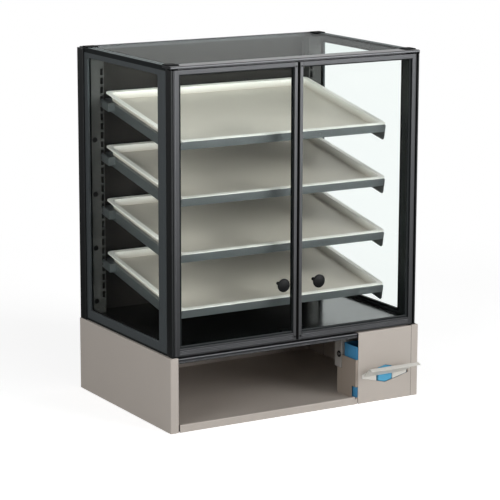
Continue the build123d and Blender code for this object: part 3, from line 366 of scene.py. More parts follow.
def powder_coat(
    name, colour, scale, roughness, metal=0.0, dusty=0.0, edge=1.2, shine=0.5, hollow=None, seam=None
):
    """Powder-coated sheet: orange-peel grain, faint clouds, edges lightened by the share edge above
    1 as painted highlight and darkened below 1 as painted shade, and a little dust.  hollow is
    the middle and half size of a tube whose inside is painted black as shade, and seam the X and
    half width of a dark joint."""
    material, tree, shader = new_material(name)
    grain = use_group(tree, GRAIN, Scale=scale, Cloud_Scale=3.5)
    edges = use_group(tree, SOFT_EDGES, Radius=SHEET_EDGE)
    dust = use_group(tree, DUST, Amount=dusty)
    base = blend_colour(tree, grain.outputs["Cloud"], *(shade(colour, share) for share in COAT_SHADES))
    # the rounded edges are lightened where edge is above 1, a painted highlight, and darkened where it is
    # below 1, a painted shade
    painted_edge_shading = multiply(tree, edges.outputs["Edge"], 0.6)
    base = blend_colour(tree, painted_edge_shading, base, shade(colour, edge))
    base = blend_colour(tree, dust.outputs["Mask"], base, PALE_DUST)
    if hollow:
        # the inside of the upright tubes is painted black: a painted shade
        base = blend_colour(tree, hollow_mask(tree, *hollow), base, TUBE_SHADE_BLACK)
    if seam:
        across = axis_of(tree, object_place(tree), "X")
        base = blend_colour(tree, maths(tree, "COMPARE", across, *seam), base, SEAM_BROWN)
    rough = around(tree, grain.outputs["Grain"], roughness, 0.04)
    normal = bump(tree, grain.outputs["Grain"], edges.outputs["Normal"], strength=0.06)
    link_surface(tree, shader, base, rough, normal)
    shader.inputs["Metallic"].default_value = metal
    shader.inputs["Specular IOR Level"].default_value = shine
    return material


def gloss_enamel(name, colour, shine):
    """Gloss enamel with a clear reflection and a trace of dust."""
    material, tree, shader = new_material(name)
    grain = use_group(tree, GRAIN, Scale=60.0, Cloud_Scale=5.0)
    edges = use_group(tree, SOFT_EDGES, Radius=SHEET_EDGE)
    dust = use_group(tree, DUST, Amount=0.012)
    base = blend_colour(tree, dust.outputs["Mask"], colour, DECK_DUST)
    rough = around(tree, grain.outputs["Cloud"], 0.15, 0.02)
    normal = bump(tree, grain.outputs["Grain"], edges.outputs["Normal"], strength=0.02)
    link_surface(tree, shader, base, rough, normal)
    shader.inputs["Specular IOR Level"].default_value = shine
    shader.inputs["Specular Tint"].default_value = COOL_TINT
    return material


def moulded(name, colour, scale, roughness, radius=MOULDED_EDGE, depth=0.15, shine=0.5):
    """Moulded plastic or rubber with a fine skin grain."""
    material, tree, shader = new_material(name)
    grain = use_group(tree, GRAIN, Scale=scale, Cloud_Scale=14.0)
    edges = use_group(tree, SOFT_EDGES, Radius=radius)
    base = blend_colour(tree, grain.outputs["Cloud"], shade(colour, 0.93), colour)
    rough = around(tree, grain.outputs["Cloud"], roughness, 0.04)
    normal = bump(tree, grain.outputs["Grain"], edges.outputs["Normal"], strength=depth, distance=0.0002)
    link_surface(tree, shader, base, rough, normal)
    shader.inputs["Specular IOR Level"].default_value = shine
    return material


SHELF_TILT = math.radians(10.91)
SHELF_NORMAL = Vector((0.0, -math.sin(SHELF_TILT), math.cos(SHELF_TILT)))
RIM_START, RIM_END = 0.2, 0.85  # shares of a tray's height where its floor turns into its rim


def tray_melamine(tray):
    """Ivory melamine, polished at the rim and rougher on the floor, whose darker, browner colour is a
    painted shade, for one tray.
    """
    material, tree, shader = new_material(tray + "_melamine")
    grain = use_group(tree, GRAIN, Scale=160.0, Cloud_Scale=9.0)
    edges = use_group(tree, SOFT_EDGES, Radius=SHEET_EDGE)
    height = vector_maths(tree, "DOT_PRODUCT", object_place(tree), SHELF_NORMAL)
    levels = [SHELF_NORMAL.dot(vertex.co) for vertex in NODES[tray].data.vertices]
    low, high = min(levels), max(levels)
    start, end = (low + share * (high - low) for share in (RIM_START, RIM_END))
    rim = value_range(tree, height, start, end, 0.0, 1.0)
    # the floor is painted darker and browner than the rim: a painted shade
    shaded_floor = blend_colour(tree, grain.outputs["Cloud"], shade(SHADED_TRAY_FLOOR, 0.93), SHADED_TRAY_FLOOR)
    base = blend_colour(tree, rim, shaded_floor, TRAY_RIM)
    rough = value_range(tree, rim, 0.0, 1.0, 0.42, 0.28)
    normal = bump(tree, grain.outputs["Grain"], edges.outputs["Normal"], strength=0.03, distance=0.0002)
    link_surface(tree, shader, base, rough, normal)
    return material


def clear_glass(name, tint, index):
    """Clear pane; light from the lamps passes it unbent."""
    material, tree, shader = new_material(name)
    smeared = multiply(tree, use_group(tree, SMUDGES, Scale=6.0).outputs["Mask"], 0.03)
    tree.links.new(blend_colour(tree, smeared, tint, SMUDGE_TINT), shader.inputs["Base Color"])
    shader.inputs["Roughness"].default_value = 0.0
    shader.inputs["Transmission Weight"].default_value = 1.0
    shader.inputs["IOR"].default_value = index
    passing = add_node(tree, "ShaderNodeBsdfTransparent", {"Color": tint}).outputs[0]
    to_lamp = add_node(tree, "ShaderNodeLightPath").outputs["Is Shadow Ray"]
    mixed = add_node(tree, "ShaderNodeMixShader", {0: to_lamp, 1: shader.outputs[0], 2: passing})
    show(tree, mixed.outputs[0])
    return material


def paper(name, colour):
    """Soft dyed paper."""
    material, tree, shader = new_material(name)
    fibre = use_group(tree, PAPER_FIBRE, Scale=1400.0).outputs["Fibre"]
    grain = use_group(tree, GRAIN, Scale=300.0, Cloud_Scale=25.0)
    base = blend_colour(tree, grain.outputs["Cloud"], shade(colour, 0.86), colour)
    rough = value_range(tree, fibre, 0.0, 0.4, 0.8, 0.95)
    normal = bump(tree, fibre, face_normal(tree), strength=0.4, distance=0.0004)
    link_surface(tree, shader, base, rough, normal)
    return material


def bare_steel(name, colour):
    """Plain turned steel."""
    material, tree, shader = new_material(name)
    grain = use_group(tree, GRAIN, Scale=1500.0, Cloud_Scale=40.0)
    edges = use_group(tree, SOFT_EDGES, Radius=FINEST_EDGE)
    base = blend_colour(tree, grain.outputs["Cloud"], shade(colour, 0.8), colour)
    rough = around(tree, grain.outputs["Grain"], 0.3, 0.06)
    normal = bump(tree, grain.outputs["Grain"], edges.outputs["Normal"], strength=0.1)
    link_surface(tree, shader, base, rough, normal)
    shader.inputs["Metallic"].default_value = 1.0
    return material


FINE, LONG = 900.0, 4.0  # die lines: scale across an extrusion, and along it
ALONG_X, ALONG_Y, ALONG_Z = (LONG, FINE, FINE), (FINE, LONG, FINE), (FINE, FINE, LONG)
TUBE_INSIDE = ((0.365, 0.2485, 0.0), (0.0202, 0.0202, 9.0))  # middle and half size of an upright, whose inside is painted black as shade
SEAM = (0.38255, 0.0005)  # X and half width of the joint of dispenser panel and base side

anodised_across = anodised("anodised_across", ALONG_X)
anodised_tall = anodised("anodised_tall", ALONG_Z)
pale_anodised = anodised("pale_anodised", ALONG_Z, PALE_ANODISED)
header_anodised = anodised("header_anodised", ALONG_X, HEADER_ANODISED)
slate_anodised = anodised(
    "slate_anodised", ALONG_Z, SLATE_ANODISED, metal=0.1, roughness=0.42, shine=0.2, inner=INSIDE_SHADE_BLACK
)
black_tall = anodised("black_tall", ALONG_Z, BLACK_ANODISED, metal=0.5)
rail_deep = black_rail("rail_deep", ALONG_Y, shine=0.07)
upright_paint = powder_coat(
    "upright_paint", UPRIGHT_GREY, 700.0, 0.42, metal=0.1, shine=0.3, hollow=TUBE_INSIDE
)
shelf_paint = powder_coat("shelf_paint", SHELF_GREY, 700.0, 0.36, metal=0.75)
panel_paint = powder_coat("panel_paint", PANEL_BLACK, 700.0, 0.5, shine=0.15)
# edge below 1 darkens the rounded edges of the taupe: painted shade
taupe_paint = powder_coat("taupe_paint", TAUPE, 900.0, 0.5, edge=0.62)
seamed_paint = powder_coat("seamed_paint", TAUPE, 900.0, 0.5, edge=0.62, seam=SEAM)
# the dispenser box is painted in a darker taupe: painted shade
shaded_taupe_paint = powder_coat("shaded_taupe_paint", SHADED_TAUPE, 900.0, 0.5, dusty=0.04, edge=0.8)
gloss_black = gloss_enamel("gloss_black", DECK_BLACK, shine=0.8)
black_moulding = moulded("black_moulding", BLACK_MOULDING, 1600.0, 0.5, shine=0.01)
knob_black = moulded("knob_black", BLACK_MOULDING, 1800.0, 0.5, radius=CRISP_EDGE, depth=0.04, shine=0.16)
black_rubber = moulded("black_rubber", RUBBER, 1200.0, 0.7, radius=CRISP_EDGE, shine=0.1)
jaw_white = moulded("jaw_white", JAW_WHITE, 900.0, 0.38, depth=0.06)
service_grey = moulded("service_grey", SERVICE_GREY, 1000.0, 0.5)
wipe_blue = paper("wipe_blue", WIPE_BLUE)
black_steel = bare_steel("black_steel", BLACK_STEEL)
side_glass = clear_glass("side_glass", GLASS_TINT, 1.1)
roof_glass = clear_glass("roof_glass", ROOF_TINT, 1.014)
bead_slate = moulded("bead_slate", BEAD_SLATE, 900.0, 0.4, radius=FINEST_EDGE, depth=0.05, shine=0.12)
highlight_teal = moulded("highlight_teal", HIGHLIGHT_TEAL, 900.0, 0.45, radius=FINEST_EDGE, depth=0.05)
carton_blue = paper("carton_blue", CARTON_BLUE)

WORN_BY = {
    anodised_across: ["top_rail_front", "top_rail_rear", "door_rails_left", "door_rails_right"],
    header_anodised: ["header_rail"],
    slate_anodised: ["side_frame_left", "side_frame_right"],
    rail_deep: ["top_rail_left", "top_rail_right", "sill_rail_left", "sill_rail_right"],
    black_tall: ["front_post_left", "front_post_right", "rear_post_left", "rear_post_right"],
    anodised_tall: ["door_hinge_stile_left", "door_hinge_stile_right"],
    pale_anodised: ["door_closing_stile_left", "door_closing_stile_right"],
    upright_paint: ["upright_left", "upright_right"],
    shelf_paint: ["shelf_1", "shelf_2", "shelf_3", "shelf_4"],
    panel_paint: ["back_panel"],
    taupe_paint: ["base_side_left", "base_floor", "base_back", "bay_ceiling", "dispenser_panel"],
    seamed_paint: ["base_side_right"],
    shaded_taupe_paint: ["dispenser_box"],
    gloss_black: ["deck"],
    black_moulding: ["corner_caps", "pivot_blocks", "door_catches"],
    knob_black: ["door_knob_left", "door_knob_right"],
    black_rubber: ["side_glazing_beads", "door_gasket_left", "door_gasket_right", "grommet"],
    jaw_white: ["dispenser_lip"],
    service_grey: ["service_box"],
    wipe_blue: ["tissue_pack"],
    black_steel: ["door_screws_left", "door_screws_right", "rear_screws"],
    side_glass: ["side_glass_left", "side_glass_right", "door_glass_left", "door_glass_right"],
    roof_glass: ["roof_glass"],
}
for tray in ("tray_1", "tray_2", "tray_3", "tray_4"):
    WORN_BY[tray_melamine(tray)] = [tray]
for material, names in WORN_BY.items():
    for name in names:
        NODES[name].data.materials.clear()
        NODES[name].data.materials.append(material)


# ------------------------------------------------------------ mesh helpers
def band(shape, near, far):
    """Faces between two closed rows of points."""
    for index in range(len(near)):
        shape.faces.new((near[index - 1], near[index], far[index], far[index - 1]))


def skin(shape, sections, ring=False):
    """Faces through sections of points: round a closed ring, or with flat ends."""
    rows = [[shape.verts.new(point) for point in section] for section in sections]
    pairs = list(zip(rows, rows[1:]))
    if ring:
        pairs.append((rows[-1], rows[0]))
    else:
        shape.faces.new(rows[0])
        shape.faces.new(reversed(rows[-1]))
    for near, far in pairs:
        band(shape, near, far)
    return rows


BEVEL_ANGLE = math.radians(35)  # edges that turn by more are rounded


def made_piece(name, body, material, shape, edge=0.0, smooth=False):
    """A piece from a bmesh that rides on a body, its edges rounded by a width."""
    bmesh.ops.recalc_face_normals(shape, faces=shape.faces)
    mesh = bpy.data.meshes.new(name)
    shape.to_mesh(mesh)
    shape.free()
    mesh.materials.append(material)
    mesh.polygons.foreach_set("use_smooth", [smooth] * len(mesh.polygons))
    piece = bpy.data.objects.new(name, mesh)
    bpy.context.scene.collection.objects.link(piece)
    if edge:
        rounding = piece.modifiers.new("rounded_edges", "BEVEL")
        rounding.width = edge
        rounding.segments = 2
        rounding.limit_method = "ANGLE"
        rounding.angle_limit = BEVEL_ANGLE
    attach(piece, body)
    return piece


def mitred_frame(shape, outer, widths, section):
    """A frame round a pane with mitred corners.  outer is (left, right, foot, head), widths
    are the bars along those sides, and section lists (share of the width, Y) round the bar."""
    left, right, foot, head = outer
    wide_left, wide_right, wide_foot, wide_head = widths
    corners = []
    for x, wide_x, z, wide_z in (
        (left, wide_left, foot, wide_foot), (right, -wide_right, foot, wide_foot),
        (right, -wide_right, head, -wide_head), (left, wide_left, head, -wide_head),
    ):
        corners.append([(x + share * wide_x, y, z + share * wide_z) for share, y in section])
    skin(shape, corners, ring=True)


def metres(x, y, z):
    """A point in metres from one in mm."""
    return (MM * x, MM * y, MM * z)


def pulled_in(ends, inset):
    """Two ends moved towards each other."""
    return ends[0] + inset, ends[1] - inset


CORNER_STEPS = 4


def rounded_outline(x_ends, y_ends, radius, z):
    """Points round a rectangle with rounded corners, from measures in mm; the last point
    and the first are the ends of the front side."""
    left, right = pulled_in(x_ends, radius)
    front, rear = pulled_in(y_ends, radius)
    points = []
    for x, y, turn in ((right, front, -90), (right, rear, 0), (left, rear, 90), (left, front, 180)):
        for step in range(CORNER_STEPS + 1):
            angle = math.radians(turn + 90 * step / CORNER_STEPS)
            points.append(metres(x + radius * math.cos(angle), y + radius * math.sin(angle), z))
    return points


# ------------------------------------------------------------ door beads and rubbers
GLASS_TUCK = 5.5 * MM  # a door pane's edge inside the frame's groove
FRAME_GAP = 0.05 * MM  # a bead to the door's frame
BEAD_HINGE, BEAD_CLOSING = 7.8 * MM, 1.8 * MM  # widths of the front bead along the stiles
BEAD_FOOT, BEAD_HEAD = 6.5 * MM, 3.5 * MM  # and along the rails
BEAD_REAR = 4.5 * MM  # width of the rubber bead behind the pane, all round
BEAD_PROUD, BEAD_THIN = 2.5 * MM, 0.9 * MM  # how far it stands off the pane, and its thin edge
BEAD_EDGE = 0.2 * MM  # width of its rounded edges
FLAT_FRONT, FLAT_REAR = 0.55, 0.5  # shares of a bead's width that are level
SEAL_FRONT, SEAL_REAR = -0.273, -0.259  # the meeting seal's ends in Y, in metres
SEAL_BACK, SEAL_CREST = 4.15, 1.2  # mm from X = 0 to the seal's back and to its crests
SEAL_WAVE = 2.3  # mm from its crests to its valleys
SEAL_STEPS = 16
CREST_POWER = 0.6  # broadens the crests


def bead_section(face, outwards, flat):
    """A bead on a pane's face at a Y, level for a share of its width and then sloping to
    its thin edge; outwards is -1 towards the front and 1 towards the rear."""
    proud, thin = face + outwards * BEAD_PROUD, face + outwards * BEAD_THIN
    return [(0.0, face), (0.0, proud), (flat, proud), (1.0, thin), (1.0, face)]


def door_trim(side, sign):
    """The glazing bead on the front of a door's pane, and the rubber round its rear with
    the lobed seal at the meeting edge."""
    rails_low, rails_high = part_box("door_rails_" + side)
    pane_low, pane_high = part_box("door_glass_" + side)
    gasket_low, gasket_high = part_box("door_gasket_" + side)
    outer = (
        rails_low.x + FRAME_GAP, rails_high.x - FRAME_GAP,
        pane_low.z + GLASS_TUCK + FRAME_GAP, pane_high.z - GLASS_TUCK - FRAME_GAP,
    )
    stiles = (BEAD_HINGE, BEAD_CLOSING) if sign < 0 else (BEAD_CLOSING, BEAD_HINGE)
    bead = bmesh.new()
    section = bead_section(pane_low.y, -1, FLAT_FRONT)
    mitred_frame(bead, outer, (*stiles, BEAD_FOOT, BEAD_HEAD), section)
    made_piece("door_bead_" + side, "door_" + side, bead_slate, bead, BEAD_EDGE)

    rubber = bmesh.new()
    mitred_frame(rubber, outer, (BEAD_REAR,) * 4, bead_section(pane_high.y, 1, FLAT_REAR))
    seal = [(SEAL_BACK * MM, SEAL_REAR), (SEAL_BACK * MM, SEAL_FRONT)]
    for step in range(SEAL_STEPS + 1):
        share = step / SEAL_STEPS
        valley = 1.0 - abs(math.sin(2 * math.pi * share)) ** CREST_POWER
        y = SEAL_FRONT + share * (SEAL_REAR - SEAL_FRONT)
        seal.append(((SEAL_CREST + SEAL_WAVE * valley) * MM, y))
    skin(rubber, [[(sign * x, y, z) for x, y in seal] for z in (gasket_low.z, gasket_high.z)])
    seal_piece = made_piece("door_rubber_" + side, "door_" + side, black_rubber, rubber)
    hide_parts("door_gasket_" + side)


for side, sign in SIDES:
    door_trim(side, sign)


# ------------------------------------------------------------ corner covers and roof strips
COVER_X, COVER_Y, COVER_TOP = 404.0, 279.5, 1003.0  # mm, like the covers' other measures
COVER_RADIUS = 3.0
COVER_STEPS = 5
COVER_CUT = 1.0  # cut off the corners at the free edges
COVER_SLOPE, COVER_PULL = 0.8, 0.5  # height of the slope round the top, and how far in it goes
POST_GAP = 0.05
POST_REACH = 1.0  # a point further out from the post than this is on the cover's outer faces


def rear_cover(side, sign):
    """A cover that wraps a rear post's two outer faces, from the post's foot upwards."""
    post_low, post_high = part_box("rear_post_" + side)
    post_in, post_out = sorted((abs(post_low.x) / MM, abs(post_high.x) / MM))
    fore, aft = post_low.y / MM, post_high.y / MM
    outline = [(post_out + POST_GAP, fore), (COVER_X - COVER_CUT, fore), (COVER_X, fore + COVER_CUT)]
    for step in range(COVER_STEPS + 1):
        angle = math.radians(90 * step / COVER_STEPS)
        x = COVER_X - COVER_RADIUS + COVER_RADIUS * math.cos(angle)
        outline.append((x, COVER_Y - COVER_RADIUS + COVER_RADIUS * math.sin(angle)))
    outline += [
        (post_in + COVER_CUT, COVER_Y), (post_in, COVER_Y - COVER_CUT),
        (post_in, aft + POST_GAP), (post_out + POST_GAP, aft + POST_GAP),
    ]
    top = MM * COVER_TOP
    sections = []
    for z, pull in ((post_low.z, 0.0), (top - MM * COVER_SLOPE, 0.0), (top, COVER_PULL)):
        section = []
        for x, y in outline:
            across = x - pull if x > post_out + POST_REACH else x
            along = y - pull if y > aft + POST_REACH else y
            section.append((sign * MM * across, MM * along, z))
        sections.append(section)
    cover = bmesh.new()
    skin(cover, sections)
    made_piece("rear_cover_" + side, "cabinet", black_tall, cover)


# the strips below are pale so as to be painted highlights along the rail
HIGHLIGHT_STRIP_PLACES = (4.0, 17.0)  # mm from the case side to the middle of each strip
HIGHLIGHT_STRIP_WIDTH = 5.0 * MM
HIGHLIGHT_STRIP_PROUD = 0.2 * MM  # above the rail
HIGHLIGHT_STRIP_DEPTH = 0.35 * MM
HIGHLIGHT_STRIP_CROWN = 0.08 * MM  # rise from the long edges to the middle


def rail_highlight_strips(side, sign):
    """Two pale strips along a side rail of the roof, 1 mm short of its ends: painted highlights."""
    rail_low, rail_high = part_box("top_rail_" + side)
    case_side = max(abs(rail_low.x), abs(rail_high.x))
    ends = pulled_in((rail_low.y, rail_high.y), MM)
    top = rail_high.z + HIGHLIGHT_STRIP_PROUD
    half = HIGHLIGHT_STRIP_WIDTH / 2
    section = [
        (-half, -HIGHLIGHT_STRIP_DEPTH), (half, -HIGHLIGHT_STRIP_DEPTH), (half, -HIGHLIGHT_STRIP_CROWN), (0.0, 0.0), (-half, -HIGHLIGHT_STRIP_CROWN)
    ]
    # the pale strips are painted highlights
    inlay = bmesh.new()
    for place in HIGHLIGHT_STRIP_PLACES:
        middle = sign * (case_side - place * MM)
        skin(inlay, [[(middle + x, y, top + z) for x, z in section] for y in ends])
    made_piece("rail_highlight_strips_" + side, "cabinet", highlight_teal, inlay)


for side, sign in SIDES:
    rear_cover(side, sign)
for side, sign in SIDES:
    rail_highlight_strips(side, sign)


# ------------------------------------------------------------ carton and wipes
CARTON_X, CARTON_Y = (199.6, 373.4), (-276.2, -206.4)  # mm, like this section's other measures
CARTON_FOOT, CARTON_HEAD = 15.2, 166.4
CARTON_WALL = 1.0
CARTON_RADIUS = 5.0
CARTON_EDGE = 0.15  # width of its rounded edges
CARTON_WINDOW = ((228.0, 50.0), (352.0, 50.0), (352.0, 110.0), (228.0, 110.0))  # X and Z


def wipes_carton():
    """The carton behind the dispenser panel: open on top, with a window in front."""
    loops = []
    for inset, z in (
        (0.0, CARTON_FOOT), (0.0, CARTON_HEAD),
        (CARTON_WALL, CARTON_HEAD), (CARTON_WALL, CARTON_FOOT + CARTON_WALL),
    ):
        x_ends, y_ends = pulled_in(CARTON_X, inset), pulled_in(CARTON_Y, inset)
        loops.append(rounded_outline(x_ends, y_ends, CARTON_RADIUS - inset, z))
    carton = bmesh.new()
    outer_foot, outer_head, inner_head, inner_foot = skin(carton, loops)
    front = CARTON_Y[0]
    holes = []
    for foot, head, y in ((outer_foot, outer_head, front), (inner_foot, inner_head, front + CARTON_WALL)):
        border = (foot[-1], foot[0], head[0], head[-1])
        carton.faces.remove(carton.faces.get(border))
        hole = [carton.verts.new(metres(x, y, z)) for x, z in CARTON_WINDOW]
        band(carton, border, hole)
        holes.append(hole)
    band(carton, *holes)
    edge = CARTON_EDGE * MM
    carton_piece = made_piece("wipes_carton", "cabinet", carton_blue, carton, edge)
    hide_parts("tissue_pack")


FOLD_PITCH = 3.2
FOLD_FILL = 0.96  # share of the pitch that a folded wipe fills
FOLD_IN = 0.7  # from a fold's bulge to its upper and lower edges
FOLD_PROFILE = ((0.0, FOLD_IN), (0.25, 0.0), (0.75, 0.0), (1.0, FOLD_IN))  # share of its height, inset
STACK_TOP, STACK_FRONT = 132.0, -264.0
STACK_GAP = 2.0  # from the carton's outside to the wipes, at the sides and the rear
STACK_LIFT = 0.3
STACK_RADIUS = 4.0


def folded_wipes():
    """The stack of folded wipes in the carton."""
    foot = CARTON_FOOT + CARTON_WALL
    folds = int((STACK_TOP - foot - CARTON_WALL) / FOLD_PITCH)
    layers = []
    for fold in range(folds):
        for share, inset in FOLD_PROFILE:
            gap = STACK_GAP + inset
            y_ends = (STACK_FRONT + inset, CARTON_Y[1] - gap)
            z = foot + STACK_LIFT + FOLD_PITCH * (fold + FOLD_FILL * share)
            layers.append(rounded_outline(pulled_in(CARTON_X, gap), y_ends, STACK_RADIUS, z))
    stack = bmesh.new()
    skin(stack, layers)
    made_piece("folded_wipes", "cabinet", wipe_blue, stack)


OPENING_X, OPENING_Z = 293.5, 79.0  # the middle of the diamond opening in the panel
OPENING_HALF, OPENING_END = 79.8, 6.3  # half its width, and half its height at the ends
OPENING_SLOPE = 0.244  # rise of its edges towards the middle
WIPE_LEFT, WIPE_RIGHT = 270.3, 317.0
WIPE_REAR, WIPE_FRONT = -262.5, -277.2
WIPE_CLEAR = 0.5  # from the wipe to the opening's edges
WIPE_COLUMNS, WIPE_ROWS = 18, 14
WIPE_SWELL, WIPE_CREASE = 2.4, 0.35  # how far the front bulges, and its creases on top
WIPE_SLANT = 0.28  # how far the middle of its right end leans to the right
BULGE_FALL = 0.7  # share of the bulge that is lost at the top and the foot
BULGE_WAVE = 0.25  # share of it, up and down, that comes and goes in a wave
WAVE_ACROSS, WAVE_UP = 3.4, 2.6  # radians of that wave over the wipe's width and half its height
CREASE_ACROSS, CREASE_UP = 9.0, 4.0  # and of the creases


def pulled_wipe():
    """The wipe that is pulled forward into the opening, with soft creases in its front."""
    columns = []
    for column in range(WIPE_COLUMNS + 1):
        across = column / WIPE_COLUMNS
        x = WIPE_LEFT + across * (WIPE_RIGHT - WIPE_LEFT)
        half = OPENING_END + OPENING_SLOPE * (OPENING_HALF - abs(x - OPENING_X)) - WIPE_CLEAR
        section = []
        for row in range(WIPE_ROWS + 1):
            rise = 2 * row / WIPE_ROWS - 1
            wave = math.cos(WAVE_UP * rise + WAVE_ACROSS * across)
            swell = (1 - BULGE_FALL * rise * rise) * (1 - BULGE_WAVE + BULGE_WAVE * wave)
            folds = math.sin(CREASE_ACROSS * across + CREASE_UP * rise)
            crease = WIPE_CREASE * folds * (1 - rise * rise)
            slant = WIPE_SLANT * across * (1 - abs(rise))
            front = WIPE_FRONT - WIPE_SWELL * swell - crease
            section.append(metres(x + slant, front, OPENING_Z + rise * half))
        section += [metres(x, WIPE_REAR, OPENING_Z + half), metres(x, WIPE_REAR, OPENING_Z - half)]
        columns.append(section)
    wipe = bmesh.new()
    skin(wipe, columns)
    made_piece("pulled_wipe", "cabinet", wipe_blue, wipe, smooth=True)


wipes_carton()
folded_wipes()
pulled_wipe()


# ------------------------------------------------------------ camera
CAMERA_TURN = math.radians(-30.355)
CAMERA_RISE = math.radians(11.910)
CAMERA_ROLL = math.radians(0.132)
CAMERA_DISTANCE = 6.3752
CAMERA_AIM = Vector((0.00618, 0.0, 0.41994))
CAMERA_LENS = 158.865
CAMERA_SENSOR = 36.0

back = Vector((
    math.sin(CAMERA_TURN) * math.cos(CAMERA_RISE),
    -math.cos(CAMERA_TURN) * math.cos(CAMERA_RISE),
    math.sin(CAMERA_RISE),
))
level = Vector((math.cos(CAMERA_TURN), math.sin(CAMERA_TURN), 0.0))
upward = back.cross(level)
right = math.cos(CAMERA_ROLL) * level + math.sin(CAMERA_ROLL) * upward
up = math.cos(CAMERA_ROLL) * upward - math.sin(CAMERA_ROLL) * level
turned = Matrix((right, up, back)).transposed().to_4x4()
camera = bpy.data.objects.new("camera", bpy.data.cameras.new("camera"))
bpy.context.scene.collection.objects.link(camera)
camera.matrix_world = Matrix.Translation(CAMERA_AIM + CAMERA_DISTANCE * back) @ turned
camera.data.lens = CAMERA_LENS
camera.data.sensor_width = CAMERA_SENSOR
camera.data.clip_end = 100.0
bpy.context.scene.camera = camera


# ------------------------------------------------------------ lamps
SOFTBOXES = (  # name, place, aim, size, watts
    ("key_softbox", (2.4, -4.4, 2.1), (0.0, 0.0, 0.45), 2.6, 142),
    ("low_softbox", (-0.3, -3.6, 0.4), (0.0, 0.0, 0.12), 0.8, 9),
    ("left_softbox", (-4.4, -2.2, 2.0), (0.0, 0.0, 0.4), 2.0, 86),
    ("rear_softbox", (-2.0, 4.4, 2.3), (0.0, 0.0, 0.5), 2.2, 20),
    ("top_softbox", (0.2, 0.4, 4.4), (0.0, 0.0, 0.5), 2.4, 12),
)
for name, place, aim, size, watts in SOFTBOXES:
    lamp = bpy.data.lights.new(name, "AREA")
    lamp.size = size
    lamp.energy = watts
    softbox = bpy.data.objects.new(name, lamp)
    softbox.location = place
    softbox.rotation_mode = "QUATERNION"
    softbox.rotation_quaternion = (Vector(aim) - Vector(place)).to_track_quat("-Z", "Y")
    bpy.context.scene.collection.objects.link(softbox)


# ------------------------------------------------------------ backdrop and floor
DARK_SIDE = Vector((-0.506, 0.863, 0.0))  # the studio's unlit side, left and to the rear
DARK_LEVEL = 0.1  # what is left of the backdrop's white there
SKY_FADE = (0.5, 0.8)  # towards that side, directions between these are less and less lit
FLOOR_FADE = (0.2, 1.2)  # and so is the floor, in metres
NO_BOUNCE = 0.5  # a ray depth below this says that there was no such bounce
AMBIENT = 0.2  # the sky's strength for all light but what is seen or mirrored


def ray_kinds(tree, away, fade):
    """Masks of rays that see the backdrop straight or through glass and of rays that mirror
    it, then how lit the side is that they go to.  Rays that a matt surface has scattered
    are in neither mask."""
    rays = add_node(tree, "ShaderNodeLightPath").outputs
    unscattered = maths(tree, "LESS_THAN", rays["Diffuse Depth"], NO_BOUNCE)
    unmirrored = maths(tree, "LESS_THAN", rays["Glossy Depth"], NO_BOUNCE)
    through = multiply(tree, rays["Is Transmission Ray"], multiply(tree, unscattered, unmirrored))
    straight = maths(tree, "MAXIMUM", rays["Is Camera Ray"], through)
    mirrored = multiply(tree, rays["Is Glossy Ray"], unscattered)
    side = vector_maths(tree, "DOT_PRODUCT", away, DARK_SIDE)
    return straight, mirrored, value_range(tree, side, *fade, 1.0, DARK_LEVEL)


def studio_sky():
    """A white backdrop where it is seen or mirrored, and a dim even light elsewhere."""
    world = bpy.data.worlds.new("studio")
    bpy.context.scene.world = world
    world.use_nodes = True
    tree = world.node_tree
    tree.nodes.clear()
    direction = add_node(tree, "ShaderNodeTexCoord").outputs["Generated"]
    straight, mirrored, lit = ray_kinds(tree, direction, SKY_FADE)
    seen = maths(tree, "MAXIMUM", straight, multiply(tree, mirrored, lit))
    ambient = add_node(tree, "ShaderNodeBackground", {"Color": WHITE, "Strength": AMBIENT}).outputs[0]
    backdrop = add_node(tree, "ShaderNodeBackground", {"Color": WHITE, "Strength": 1.0}).outputs[0]
    both = add_node(tree, "ShaderNodeMixShader", {0: seen, 1: ambient, 2: backdrop}).outputs[0]
    add_node(tree, "ShaderNodeOutputWorld", {0: both})


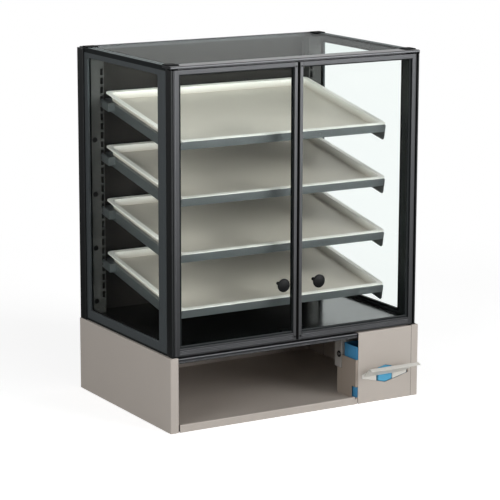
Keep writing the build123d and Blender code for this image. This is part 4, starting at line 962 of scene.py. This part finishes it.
FLOOR_HALF = 14.0
FLOOR_GLOW = 0.62  # white added near the object, where the floor keeps its shadow
NEAR, FAR = 1.0, 2.4  # from here to there the floor turns into pure white
MIRROR_NEAR, MIRROR_FAR = 0.9, 4.2  # from here to there the mirrored floor brightens
MIRROR_DIM = 0.12  # its brightness near the object


def floor_paint():
    """Pale and matt with the object's shadow near it, and pure white further out.  Where
    it is mirrored it is dim near the object and on the unlit side."""
    material, tree, shader = new_material("pale_floor")
    cloud = use_group(tree, GRAIN, Scale=40.0, Cloud_Scale=0.5).outputs["Cloud"]
    tree.links.new(blend_colour(tree, cloud, FLOOR, WHITE), shader.inputs["Base Color"])
    shader.inputs["Roughness"].default_value = 0.9
    shader.inputs["Specular IOR Level"].default_value = 0.0
    shader.inputs["Emission Color"].default_value = WHITE
    place = object_place(tree)
    reach = vector_maths(tree, "LENGTH", place)
    straight, mirrored, lit = ray_kinds(tree, place, FLOOR_FADE)
    tree.links.new(multiply(tree, straight, FLOOR_GLOW), shader.inputs["Emission Strength"])
    brightness = multiply(tree, lit, value_range(tree, reach, MIRROR_NEAR, MIRROR_FAR, MIRROR_DIM, 1.0))
    levels = {0: straight, 2: brightness, 3: 1.0}
    strength = add_node(tree, "ShaderNodeMix", levels, data_type="FLOAT").outputs[0]
    pure = add_node(tree, "ShaderNodeEmission", {"Color": WHITE, "Strength": strength}).outputs[0]
    far_out = multiply(tree, straight, value_range(tree, reach, NEAR, FAR, 0.0, 1.0))
    only_mirrored = multiply(tree, mirrored, maths(tree, "SUBTRACT", 1.0, straight))
    share = maths(tree, "MAXIMUM", far_out, only_mirrored)
    look = add_node(tree, "ShaderNodeMixShader", {0: share, 1: shader.outputs[0], 2: pure})
    show(tree, look.outputs[0])
    return material


studio_sky()
floor_mesh = bpy.data.meshes.new("floor")
corners = [(x * FLOOR_HALF, y * FLOOR_HALF, 0.0) for x, y in ((-1, -1), (1, -1), (1, 1), (-1, 1))]
floor_mesh.from_pydata(corners, [], [(0, 1, 2, 3)])
floor_mesh.materials.append(floor_paint())
floor = bpy.data.objects.new("floor", floor_mesh)
bpy.context.scene.collection.objects.link(floor)

bpy.context.scene.view_settings.view_transform = "Standard"
